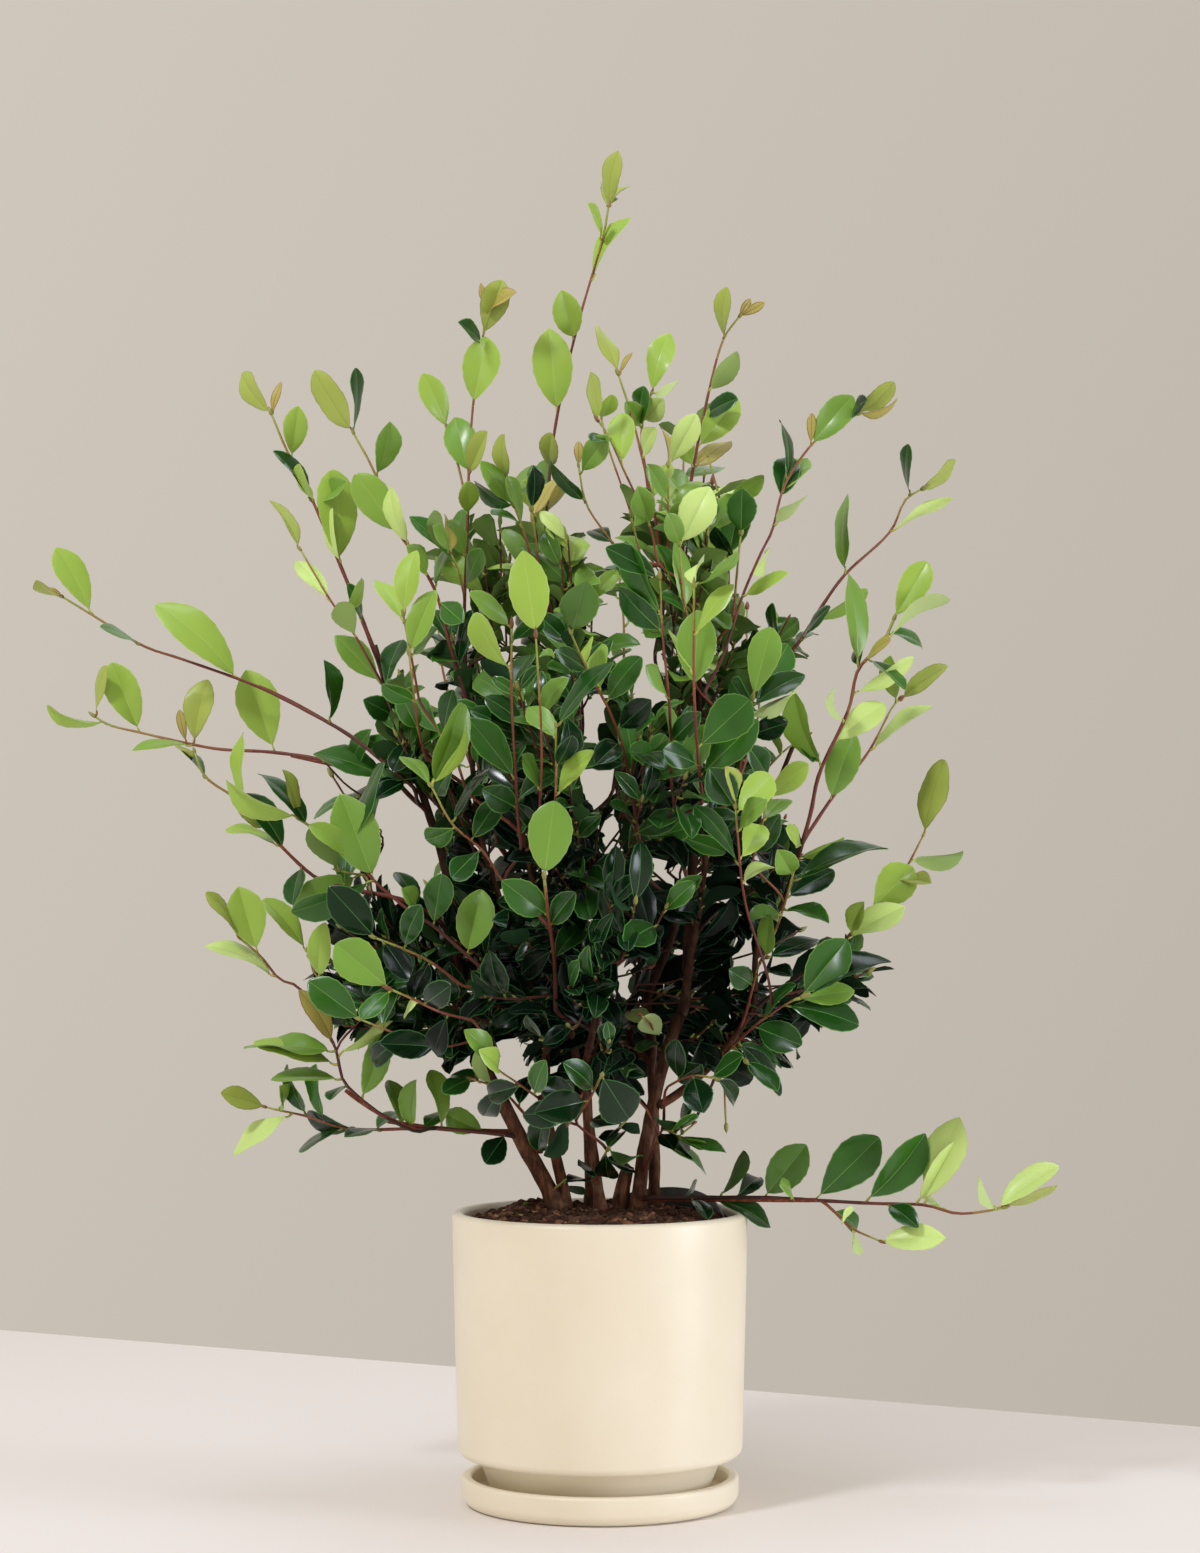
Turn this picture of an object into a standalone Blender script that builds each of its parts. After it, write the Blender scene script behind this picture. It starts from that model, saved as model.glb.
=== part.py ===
"""Camellia shrub growing in a cream pot that stands on its saucer.

Frame: metres, +Z up, +X to the right and +Y to the rear. The origin is the centre of the saucer's
flat underside. The pot and saucer are turned shapes. Stems and boughs are tapering limbs, and the
foliage is a crown of uneven masses: a core in three tiers, and slender leafy sprays round it that
reach the outermost tips. Masses keep a narrow gap to each other, and a limb ends where it enters one.
"""
import math

import bmesh
import bpy
from mathutils import Matrix, Quaternion, Vector, noise

GAP = 0.0003  # between neighbouring solids
UNEVEN_GAP = 0.0006  # the same round an uneven mass, whose slanting faces narrow it
TURN_SIDES = 36  # round the pot and saucer
LIMB_SIDES = 8  # round a limb
LIMB_RINGS = 5  # along a limb

# saucer
SAUCER_RADIUS = 0.0963
SAUCER_FOOT_RADIUS = 0.0915
SAUCER_HEIGHT = 0.0200
SAUCER_WALL = 0.0075
SAUCER_FLOOR = 0.0060
SAUCER_ROUND = 0.0032

# pot, with a narrower foot that stands inside the saucer
POT_RIM_RADIUS = 0.1030
POT_BASE_RADIUS = 0.0990
POT_TOP = 0.2020
POT_WALL = 0.0080
POT_FLOOR = 0.0110
FOOT_RADIUS = 0.0800
NECK_RADIUS = 0.0850
FOOT_BOTTOM = SAUCER_FLOOR + GAP
FOOT_BEVEL = 0.0020
BODY_BOTTOM = 0.0340
BODY_ROUND = 0.0060
SHOULDER_RISE = 0.0050
RIM_ROUND = 0.0030

# soil: a low mound with a level top where the stems stand
SOIL_TOP = 0.2025
SOIL_EDGE = 0.1980
SOIL_LEVEL_RADIUS = 0.0560
SOIL_RADIUS = POT_RIM_RADIUS - POT_WALL - 2 * GAP

# rim of the grow pot: an arc that stands clear of the soil at the rear right
RIM_ARC_RADIUS = 0.0880
RIM_ARC_WALL = 0.0024
RIM_ARC_START = 5.0
RIM_ARC_END = 95.0
RIM_ARC_PEAK = 0.2085
RIM_ARC_LOW = 0.0012  # height left at its two ends
RIM_ARC_SIDES = 16

STEM_FOOT = SOIL_TOP + GAP
FLARE = 1.45  # width of a stem at the soil, against its width above the flare
FLARE_HEIGHT = 0.014
STANDING_SPACING = 1.5  # above 1, the rings of a standing limb crowd towards its foot

# foliage: how far an uneven surface swells and sinks, and the size of its lumps
UNEVENNESS = 0.55
LUMPS = 2.6
CORE_MESH = (11, 8)  # sides round a core mass, and steps along it
SPRAY_MESH = (7, 7)

# surfaces: base colour and roughness
CREAM_GLAZE = ((0.86, 0.77, 0.62), 0.45)
SOIL_CRUMB = ((0.055, 0.032, 0.020), 0.95)
BLACK_PLASTIC = ((0.012, 0.012, 0.018), 0.40)
OLD_BARK = ((0.130, 0.060, 0.035), 0.90)
YOUNG_BARK = ((0.240, 0.070, 0.040), 0.70)
OLD_LEAVES = ((0.020, 0.090, 0.025), 0.50)
YOUNG_LEAVES = ((0.170, 0.400, 0.060), 0.60)

# core masses: foot and top of the upright middle line, half width, half depth
CORE_MASSES = {
    "lower_middle_mass": ((-0.010, 0, 0.282), (-0.005, 0, 0.400), 0.068, 0.060),
    "lower_left_mass": ((-0.105, -0.010, 0.298), (-0.130, -0.010, 0.445), 0.082, 0.088),
    "lower_right_mass": ((0.105, 0.005, 0.288), (0.130, 0, 0.440), 0.080, 0.088),
    "lower_front_mass": ((0, -0.090, 0.300), (-0.005, -0.115, 0.440), 0.078, 0.070),
    "lower_rear_mass": ((0.005, 0.100, 0.292), (0, 0.125, 0.445), 0.084, 0.076),
    "middle_left_mass": ((-0.115, -0.020, 0.430), (-0.130, -0.020, 0.590), 0.078, 0.086),
    "middle_right_mass": ((0.120, 0, 0.425), (0.105, 0, 0.600), 0.072, 0.088),
    "middle_front_mass": ((-0.005, -0.100, 0.420), (0.005, -0.105, 0.600), 0.082, 0.074),
    "middle_rear_mass": ((0, 0.110, 0.425), (-0.005, 0.110, 0.600), 0.080, 0.078),
    "middle_core_mass": ((-0.005, 0, 0.385), (0, 0.005, 0.590), 0.056, 0.050),
    "upper_left_mass": ((-0.105, 0, 0.570), (-0.095, 0.010, 0.700), 0.062, 0.072),
    "upper_right_mass": ((0.075, -0.005, 0.575), (0.085, 0, 0.720), 0.060, 0.072),
    "upper_middle_mass": ((-0.010, 0.010, 0.580), (-0.015, 0.010, 0.715), 0.056, 0.090),
}

# leafy sprays: root, tip, half width, half thickness, rise of the middle above the straight line
SPRAYS = {
    "leader_spray": ((-0.036, 0.005, 0.660), (0.014, 0.010, 0.947), 0.022, 0.022, (-0.006, 0, 0)),
    "top_left_spray": ((-0.092, 0, 0.660), (-0.074, -0.010, 0.858), 0.026, 0.026, (-0.012, 0, 0)),
    "top_middle_spray": ((0.030, -0.030, 0.680), (0.004, -0.045, 0.826), 0.030, 0.028, (0.008, 0, 0)),
    "top_right_spray": ((0.060, 0.010, 0.680), (0.104, 0.025, 0.852), 0.028, 0.026, (-0.008, 0, 0)),
    "upper_front_spray": ((-0.010, -0.080, 0.575), (-0.025, -0.120, 0.735), 0.034, 0.026, (0, -0.010, 0)),
    "upper_rear_spray": ((-0.015, 0.080, 0.640), (-0.060, 0.135, 0.800), 0.030, 0.026, (0, 0.010, 0)),
    "shoulder_left_spray": ((-0.110, -0.020, 0.630), (-0.200, -0.035, 0.795), 0.028, 0.024, (0.010, 0, 0)),
    "outer_left_spray": ((-0.150, 0.010, 0.600), (-0.254, 0.030, 0.792), 0.028, 0.024, (-0.006, 0, 0)),
    "side_left_spray": ((-0.150, -0.045, 0.570), (-0.232, -0.075, 0.702), 0.024, 0.022, (0, 0, 0.004)),
    "shoulder_right_spray": ((0.085, -0.020, 0.590), (0.210, -0.040, 0.786), 0.026, 0.024, (-0.014, 0, 0)),
    "outer_right_spray": ((0.120, 0.020, 0.570), (0.256, 0.045, 0.730), 0.022, 0.022, (0, 0, 0)),
    "side_right_spray": ((0.145, -0.020, 0.480), (0.246, -0.035, 0.645), 0.026, 0.024, (-0.006, 0, 0)),
    "low_side_right_spray": ((0.150, 0.040, 0.470), (0.244, 0.075, 0.590), 0.022, 0.022, (0, 0, 0)),
    "waist_right_spray": ((0.165, -0.005, 0.390), (0.250, -0.010, 0.528), 0.026, 0.024, (0.008, 0, 0)),
    "waist_left_spray": ((-0.130, -0.070, 0.420), (-0.262, -0.110, 0.505), 0.026, 0.022, (0, 0, -0.006)),
    "front_right_spray": ((0.060, -0.110, 0.480), (0.110, -0.215, 0.640), 0.030, 0.026, (0, 0.008, 0)),
    "front_left_spray": ((-0.060, -0.110, 0.470), (-0.110, -0.205, 0.660), 0.030, 0.026, (0, 0.008, 0)),
    "front_low_spray": ((0, -0.130, 0.400), (-0.030, -0.245, 0.490), 0.030, 0.024, (0, 0, -0.006)),
    "rear_right_spray": ((0.070, 0.120, 0.500), (0.145, 0.220, 0.670), 0.030, 0.026, (0, 0, 0.006)),
    "rear_left_spray": ((-0.070, 0.120, 0.490), (-0.145, 0.215, 0.655), 0.030, 0.026, (0, 0, 0.006)),
    "rear_low_spray": ((0.010, 0.150, 0.390), (0.030, 0.262, 0.470), 0.032, 0.024, (0, 0, -0.008)),
    "upper_arm_spray": ((-0.215, 0.006, 0.560), (-0.394, 0.012, 0.655), 0.026, 0.018, (0, 0, 0.004)),
    "lower_arm_spray": ((-0.195, 0.035, 0.517), (-0.392, 0.050, 0.562), 0.026, 0.016, (0, 0, 0.006)),
    "lower_left_tip_spray": ((-0.140, -0.020, 0.272), (-0.276, -0.030, 0.432), 0.022, 0.018, (-0.006, 0, -0.002)),
    "low_left_spray": ((-0.125, 0.030, 0.262), (-0.268, 0.040, 0.282), 0.024, 0.018, (0, 0, -0.004)),
    "low_right_spray": ((0.122, -0.022, 0.217), (0.320, -0.036, 0.232), 0.030, 0.018, (0, 0, -0.004)),
}

# stems: foot (x, y), top, radius above the flare, radius at the top, bend of the middle
STEMS = {
    "left_stem": ((-0.026, 0), (-0.098, -0.005, 0.340), 0.0060, 0.0042, (-0.004, 0, 0.004)),
    "middle_stem": ((0.001, -0.004), (-0.026, -0.014, 0.350), 0.0036, 0.0028, (0.003, 0, 0)),
    "right_stem": ((0.026, 0), (0.060, 0.004, 0.350), 0.0050, 0.0040, (-0.006, 0, 0)),
    "rear_right_stem": ((0.038, 0.028), (0.034, 0.062, 0.350), 0.0042, 0.0034, (0.002, 0, 0)),
    "rear_stem": ((-0.006, 0.026), (-0.012, 0.070, 0.350), 0.0040, 0.0032, (0, -0.004, 0)),
}

# boughs: root, end, radius at the root, radius at the end, bend of the middle
BOUGHS = {
    "left_fork": ((-0.043, -0.002, 0.243), (-0.040, -0.030, 0.345), 0.0034, 0.0026, (0.004, 0, 0)),
    "right_fork": ((0.041, 0, 0.275), (0.108, 0.006, 0.345), 0.0032, 0.0024, (0.004, 0, -0.006)),
    "low_right_bough": ((0.028, -0.002, 0.210), (0.150, -0.024, 0.217), 0.0026, 0.0018, (0, 0, 0.003)),
    "low_left_bough": ((-0.058, -0.002, 0.257), (-0.150, 0.031, 0.262), 0.0024, 0.0017, (0, 0, -0.002)),
    "lower_left_tip_bough": ((-0.066, -0.004, 0.270), (-0.155, -0.021, 0.284), 0.0022, 0.0017, (0, 0, -0.004)),
    "upper_arm_bough": ((-0.170, -0.004, 0.530), (-0.240, 0.007, 0.569), 0.0018, 0.0014, (0, 0, 0.002)),
    "lower_arm_bough": ((-0.160, 0.028, 0.508), (-0.220, 0.037, 0.521), 0.0018, 0.0014, (0, 0, 0)),
}


def clear_scene():
    for thing in list(bpy.data.objects):
        bpy.data.objects.remove(thing, do_unlink=True)


def paint(piece, surface):
    colour, roughness = surface
    material = bpy.data.materials.new(piece.name)
    material.use_nodes = True
    shader = material.node_tree.nodes["Principled BSDF"]
    shader.inputs["Base Color"].default_value = (*colour, 1.0)
    shader.inputs["Roughness"].default_value = roughness
    shader.inputs["Metallic"].default_value = 0.0
    piece.data.materials.append(material)


def finish_mesh(name, mesh_data):
    bmesh.ops.recalc_face_normals(mesh_data, faces=mesh_data.faces)
    mesh = bpy.data.meshes.new(name)
    mesh_data.to_mesh(mesh)
    mesh_data.free()
    mesh.shade_smooth()
    mesh.set_sharp_from_angle(angle=math.radians(40.0))
    piece = bpy.data.objects.new(name, mesh)
    bpy.context.collection.objects.link(piece)
    return piece


def rounded(centre, radius, start, end, steps=2):
    """Points of an arc in the (radius, height) plane, from start to end degrees."""
    angles = [math.radians(start + (end - start) * i / steps) for i in range(steps + 1)]
    return [(centre[0] + radius * math.cos(a), centre[1] + radius * math.sin(a)) for a in angles]


def turned(name, profile):
    """Solid of revolution about Z; the profile starts and ends on the axis."""
    shape = bmesh.new()
    points = [shape.verts.new((r, 0.0, z)) for r, z in profile]
    edges = [shape.edges.new(pair) for pair in zip(points, points[1:])]
    bmesh.ops.spin(
        shape,
        geom=points + edges,
        cent=(0.0, 0.0, 0.0),
        axis=(0.0, 0.0, 1.0),
        angle=2 * math.pi,
        steps=TURN_SIDES,
        use_merge=True,
    )
    bmesh.ops.remove_doubles(shape, verts=shape.verts, dist=1e-6)
    return finish_mesh(name, shape)


def make_saucer():
    lip = SAUCER_ROUND
    inner = SAUCER_RADIUS - SAUCER_WALL
    profile = [(0.0, 0.0), (SAUCER_FOOT_RADIUS - lip, 0.0)]
    profile += rounded((SAUCER_FOOT_RADIUS - lip, lip), lip, -60.0, -10.0)
    profile += rounded((SAUCER_RADIUS - lip, SAUCER_HEIGHT - lip), lip, 0.0, 90.0)
    profile += rounded((inner + lip, SAUCER_HEIGHT - lip), lip, 90.0, 180.0)
    profile += [(inner, SAUCER_FLOOR + lip), (inner - lip, SAUCER_FLOOR), (0.0, SAUCER_FLOOR)]
    piece = turned("saucer", profile)
    paint(piece, CREAM_GLAZE)
    return piece


def cavity(clearance):
    """Profile of the pot's inside from the wall's foot to the axis, stepped in over its neck."""
    shoulder = BODY_BOTTOM + POT_WALL + clearance
    side = POT_WALL + 2 * clearance
    floor = FOOT_BOTTOM + POT_FLOOR + clearance
    return [
        (POT_BASE_RADIUS - side, shoulder + SHOULDER_RISE),
        (NECK_RADIUS - side, shoulder),
        (FOOT_RADIUS - side, floor),
        (0.0, floor),
    ]


def make_pot():
    inner_rim = POT_RIM_RADIUS - POT_WALL
    profile = [(0.0, FOOT_BOTTOM), (FOOT_RADIUS - FOOT_BEVEL, FOOT_BOTTOM)]
    profile += [(FOOT_RADIUS, FOOT_BOTTOM + FOOT_BEVEL), (NECK_RADIUS, BODY_BOTTOM)]
    profile += rounded((POT_BASE_RADIUS - BODY_ROUND, BODY_BOTTOM + BODY_ROUND), BODY_ROUND, -90.0, 0.0)
    profile += rounded((POT_RIM_RADIUS - RIM_ROUND, POT_TOP - RIM_ROUND), RIM_ROUND, 0.0, 90.0)
    profile += rounded((inner_rim + RIM_ROUND, POT_TOP - RIM_ROUND), RIM_ROUND, 90.0, 180.0)
    profile += cavity(0.0)
    piece = turned("pot", profile)
    paint(piece, CREAM_GLAZE)
    return piece


def make_soil():
    profile = cavity(GAP)[::-1]
    profile += [(SOIL_RADIUS, SOIL_EDGE), (SOIL_LEVEL_RADIUS, SOIL_TOP), (0.0, SOIL_TOP)]
    piece = turned("soil", profile)
    paint(piece, SOIL_CRUMB)
    return piece


def soil_height(radius):
    slope = (SOIL_TOP - SOIL_EDGE) / (SOIL_RADIUS - SOIL_LEVEL_RADIUS)
    return SOIL_TOP - slope * max(0.0, radius - SOIL_LEVEL_RADIUS)


def make_grow_pot_rim():
    """An arc of thin wall that rises out of the soil to its peak and sinks back into it."""
    shape = bmesh.new()
    inner = RIM_ARC_RADIUS - RIM_ARC_WALL
    foot = soil_height(inner) + GAP
    corners = ((inner, foot), (RIM_ARC_RADIUS, foot), (RIM_ARC_RADIUS, RIM_ARC_PEAK), (inner, RIM_ARC_PEAK))
    start = Matrix.Rotation(math.radians(RIM_ARC_START), 3, "Z")
    section = shape.faces.new([shape.verts.new(start @ Vector((r, 0.0, z))) for r, z in corners])
    bmesh.ops.spin(
        shape,
        geom=[section, *section.edges, *section.verts],
        cent=(0.0, 0.0, 0.0),
        axis=(0.0, 0.0, 1.0),
        angle=math.radians(RIM_ARC_END - RIM_ARC_START),
        steps=RIM_ARC_SIDES,
    )
    for vert in shape.verts:
        if vert.co.z > foot + GAP:
            turned_by = math.degrees(math.atan2(vert.co.y, vert.co.x)) - RIM_ARC_START
            share = min(max(turned_by / (RIM_ARC_END - RIM_ARC_START), 0.0), 1.0)
            height = RIM_ARC_LOW + (RIM_ARC_PEAK - foot - RIM_ARC_LOW) * math.sin(math.pi * share)
            vert.co.z = foot + height
    piece = finish_mesh("grow_pot_rim", shape)
    paint(piece, BLACK_PLASTIC)
    return piece


def along(path, share):
    """Point on a bowed line; the path's bend moves its middle off the straight line."""
    start, end, bend = path
    return start.lerp(end, share) + bend * (4.0 * share * (1.0 - share))


def facing(path, share):
    """Turn that carries +Z onto the bowed line's direction by the shortest way."""
    start, end, bend = path
    direction = end - start + bend * (4.0 * (1.0 - 2.0 * share))
    return Vector((0.0, 0.0, 1.0)).rotation_difference(direction.normalized())


def limb(name, path, start_radius, end_radius, standing=False, margin=0.0):
    """Tapering limb of round rings; a standing one is cut level and flares at its foot."""
    shape = bmesh.new()
    loops = []
    for i in range(LIMB_RINGS):
        share = (i / (LIMB_RINGS - 1)) ** (STANDING_SPACING if standing else 1.0)
        turn = facing(path, share)
        radius = start_radius + (end_radius - start_radius) * share
        if standing:
            near_foot = max(0.0, 1.0 - (along(path, share).z - path[0].z) / FLARE_HEIGHT)
            radius *= 1.0 + (FLARE - 1.0) * near_foot
            turn = turn.slerp(Quaternion(), near_foot)
        place = Matrix.LocRotScale(along(path, share), turn, None)
        ring = bmesh.ops.create_circle(
            shape,
            cap_ends=i in (0, LIMB_RINGS - 1),
            segments=LIMB_SIDES,
            radius=radius + margin,
            matrix=place,
        )
        loops.append(list({edge for vert in ring["verts"] for edge in vert.link_edges}))
    for near, far in zip(loops, loops[1:]):
        bmesh.ops.bridge_loops(shape, edges=near + far)
    return finish_mesh(name, shape)


def mass(name, path, half_width, half_depth, mesh_size, seed, margin=0.0):
    """Uneven closed body grown along a bowed line from its root to its tip."""
    shape = bmesh.new()
    bmesh.ops.create_uvsphere(shape, u_segments=mesh_size[0], v_segments=mesh_size[1], radius=1.0)
    shift = Vector((11.3, 5.1, 7.7)) * seed
    for vert in shape.verts:
        ball = vert.co.copy()
        share = 0.5 + 0.5 * ball.z
        swell = 1.0 + UNEVENNESS * noise.noise(ball * LUMPS + shift)
        side = Vector((ball.x * half_width, ball.y * half_depth, 0.0)) * swell
        vert.co = along(path, share) + facing(path, share) @ (side + ball * margin)
    bmesh.ops.triangulate(shape, faces=shape.faces, quad_method="FIXED")
    return finish_mesh(name, shape)


def guide(piece):
    """Keep a shape only as a cutter for its neighbours."""
    piece.hide_render = True
    piece.display_type = "WIRE"
    return piece


def box_of(piece):
    corners = [vert.co for vert in piece.data.vertices]
    low = [min(corner[i] for corner in corners) for i in range(3)]
    high = [max(corner[i] for corner in corners) for i in range(3)]
    return low, high


def boxes_meet(one, other):
    (low_a, high_a), (low_b, high_b) = one, other
    return all(low_a[i] < high_b[i] and low_b[i] < high_a[i] for i in range(3))


def cut_clear(piece, clearances):
    """Take off a piece what lies inside the clearance of those made before it."""
    own_box = box_of(piece)
    for clearance in clearances:
        if boxes_meet(own_box, box_of(clearance)):
            cut = piece.modifiers.new("clear of " + clearance.name, "BOOLEAN")
            cut.operation = "DIFFERENCE"
            cut.solver = "EXACT"
            cut.object = clearance


def grow(name, clearances, surface, make, *sizes, **settings):
    """Make a plant piece, cut it clear of the earlier ones, and leave its own clearance."""
    piece = make(name, *sizes, **settings)
    paint(piece, surface)
    cut_clear(piece, clearances)
    margin = UNEVEN_GAP if make is mass else GAP
    clearances.append(guide(make(name + "_clearance", *sizes, margin=margin, **settings)))
    return piece


def make_plant():
    clearances = []
    for seed, (name, (start, end, half_width, half_depth)) in enumerate(CORE_MASSES.items(), 1):
        path = (Vector(start), Vector(end), Vector())
        grow(name, clearances, OLD_LEAVES, mass, path, half_width, half_depth, CORE_MESH, seed)
    for seed, (name, (start, end, half_width, half_depth, bend)) in enumerate(SPRAYS.items(), 31):
        path = (Vector(start), Vector(end), Vector(bend))
        grow(name, clearances, YOUNG_LEAVES, mass, path, half_width, half_depth, SPRAY_MESH, seed)
    for name, ((x, y), end, foot_radius, end_radius, bend) in STEMS.items():
        path = (Vector((x, y, STEM_FOOT)), Vector(end), Vector(bend))
        grow(name, clearances, OLD_BARK, limb, path, foot_radius, end_radius, standing=True)
    for name, (start, end, start_radius, end_radius, bend) in BOUGHS.items():
        path = (Vector(start), Vector(end), Vector(bend))
        grow(name, clearances, YOUNG_BARK, limb, path, start_radius, end_radius)


clear_scene()
make_saucer()
make_pot()
make_soil()
make_grow_pot_rim()
make_plant()
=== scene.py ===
"""Camellia shrub growing in a satin cream pot that stands on its saucer.

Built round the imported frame: metres, +Z up, +X to the right, +Y to the rear. The pot, saucer, soil
and grow-pot rim are turned shapes. Stems and boughs get a mesh with the bark's relief, and from
them the crown grows: leaders, measured shoots with their own leaves, and twigs by a seeded rule.
"""
import math

import bmesh
import bpy
import numpy as np
from mathutils import Matrix, Quaternion, Vector, noise


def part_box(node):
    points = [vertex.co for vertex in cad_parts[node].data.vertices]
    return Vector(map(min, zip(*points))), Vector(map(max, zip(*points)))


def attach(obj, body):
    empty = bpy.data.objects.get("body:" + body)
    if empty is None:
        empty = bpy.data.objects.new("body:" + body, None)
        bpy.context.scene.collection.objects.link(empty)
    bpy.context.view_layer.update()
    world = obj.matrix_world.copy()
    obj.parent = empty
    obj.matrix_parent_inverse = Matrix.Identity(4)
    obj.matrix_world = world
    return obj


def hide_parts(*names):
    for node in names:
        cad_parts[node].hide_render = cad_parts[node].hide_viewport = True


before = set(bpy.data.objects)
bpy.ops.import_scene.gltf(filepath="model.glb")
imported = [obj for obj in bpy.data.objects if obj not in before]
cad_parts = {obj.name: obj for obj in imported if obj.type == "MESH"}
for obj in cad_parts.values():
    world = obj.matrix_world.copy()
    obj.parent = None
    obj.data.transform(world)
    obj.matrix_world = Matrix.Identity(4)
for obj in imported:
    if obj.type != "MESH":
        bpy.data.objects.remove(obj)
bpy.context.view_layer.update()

luck = np.random.default_rng(20)

# view
EYE_DISTANCE = 2.32
EYE_HEIGHT = 0.422
EYE_TILT = 92.05
LENS = 76.8
SENSOR = 36.0

# units, and lengths too short to count
MM = 0.001
FULL_TURN = 2 * math.pi
TINY = 1e-12
CLOSE = 1e-6

# turned wares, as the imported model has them
TURN_STEPS = 144
LONGEST_STRETCH = 0.02
SAUCER_RADIUS = 0.0963
SAUCER_HEIGHT = 0.0200
SAUCER_WALL = 0.0075
SAUCER_FLOOR = 0.0060
SAUCER_LIP_ROUND = 0.0024
SAUCER_BASE_ROUND = 0.0085
SAUCER_FLOOR_ROUND = 0.0036
SAUCER_BASE_ARC = -85.0
POT_RIM_RADIUS = 0.1030
POT_BASE_RADIUS = 0.0990
POT_TOP = 0.2020
POT_WALL = 0.0080
POT_FLOOR = 0.0110
FOOT_RADIUS = 0.0750
NECK_RADIUS = 0.0850
NECK_FILLET = ((-0.0004, -0.0012), (0.0014, 0.0))
FOOT_BOTTOM = 0.0063
FOOT_BEVEL = 0.0020
FOOT_ARC = -80.0
BODY_BOTTOM = 0.0340
BODY_ROUND = 0.0060
INNER_STEP = 0.0050
RIM_ROUND = 0.0038
SOIL_TOP = 0.2025
SOIL_EDGE = 0.1950
SOIL_GAP = 0.0003
SOIL_LEVEL_RADIUS = 0.0500
SOIL_RADIUS = 0.0944
RIM_ARC_RADIUS = 0.0880
RIM_ARC_WALL = 0.0024
RIM_ARC_START = 5.0
RIM_ARC_END = 95.0
RIM_ARC_PEAK = 0.2125
RIM_ARC_STEPS = 48
RIM_ARC_FOOT = 0.004
RIM_ARC_LOW = 0.001
RIM_ARC_SHAPE = 0.75
RIM_ARC_BEVEL = 0.0006
RIM_ARC_SHARP = 1.0

# stems: foot, top, radius above the flare, radius at the top, bend of the middle
FLARE = 1.45
FLARE_HEIGHT = 0.014
STEM_FOOT = SOIL_TOP - 0.004
STEMS = {
    "left_stem": ((-0.026, 0), (-0.098, -0.005, 0.340), 0.0060, 0.0042, (-0.004, 0, 0.004)),
    "middle_stem": ((0.001, -0.004), (-0.026, -0.014, 0.350), 0.0036, 0.0028, (0.003, 0, 0)),
    "right_stem": ((0.026, 0), (0.060, 0.004, 0.350), 0.0050, 0.0040, (-0.006, 0, 0)),
    "rear_right_stem": ((0.038, 0.028), (0.034, 0.062, 0.350), 0.0042, 0.0034, (0.002, 0, 0)),
    "rear_stem": ((-0.006, 0.026), (-0.012, 0.070, 0.350), 0.0040, 0.0032, (0, -0.004, 0)),
}

# boughs: root, end, radius at the root, radius at the end, bend of the middle
BOUGHS = {
    "left_fork": ((-0.043, -0.002, 0.243), (-0.040, -0.030, 0.345), 0.0034, 0.0026, (0.004, 0, 0)),
    "right_fork": ((0.041, 0, 0.275), (0.108, 0.006, 0.345), 0.0032, 0.0024, (0.004, 0, -0.006)),
    "low_right_bough": ((0.028, -0.004, 0.2108), (0.150, -0.0205, 0.2112), 0.0021, 0.0016, (0, 0, 0)),
    "low_left_bough": ((-0.058, -0.002, 0.257), (-0.150, 0.031, 0.262), 0.0021, 0.0015, (0, 0, -0.002)),
    "lower_left_tip_bough": (
        (-0.128, 0.006, 0.2585), (-0.176, -0.020, 0.2868), 0.0017, 0.0014, (0, 0, -0.0035),
    ),
    "upper_arm_bough": ((-0.170, -0.004, 0.530), (-0.240, 0.007, 0.569), 0.0013, 0.0011, (0, 0, 0.002)),
    "lower_arm_bough": ((-0.160, 0.028, 0.508), (-0.220, 0.037, 0.521), 0.0013, 0.0011, (0, 0, 0)),
}
MAIN_BOUGHS = ("left_fork", "right_fork")
ARM_BOUGHS = (
    "low_right_bough", "low_left_bough", "lower_left_tip_bough", "upper_arm_bough", "lower_arm_bough",
)
PIECE_OF = {
    **dict.fromkeys(STEMS, "stem_bark"),
    **dict.fromkeys(MAIN_BOUGHS, "bough_bark"),
    **dict.fromkeys(ARM_BOUGHS, "arm_bark"),
}

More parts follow.
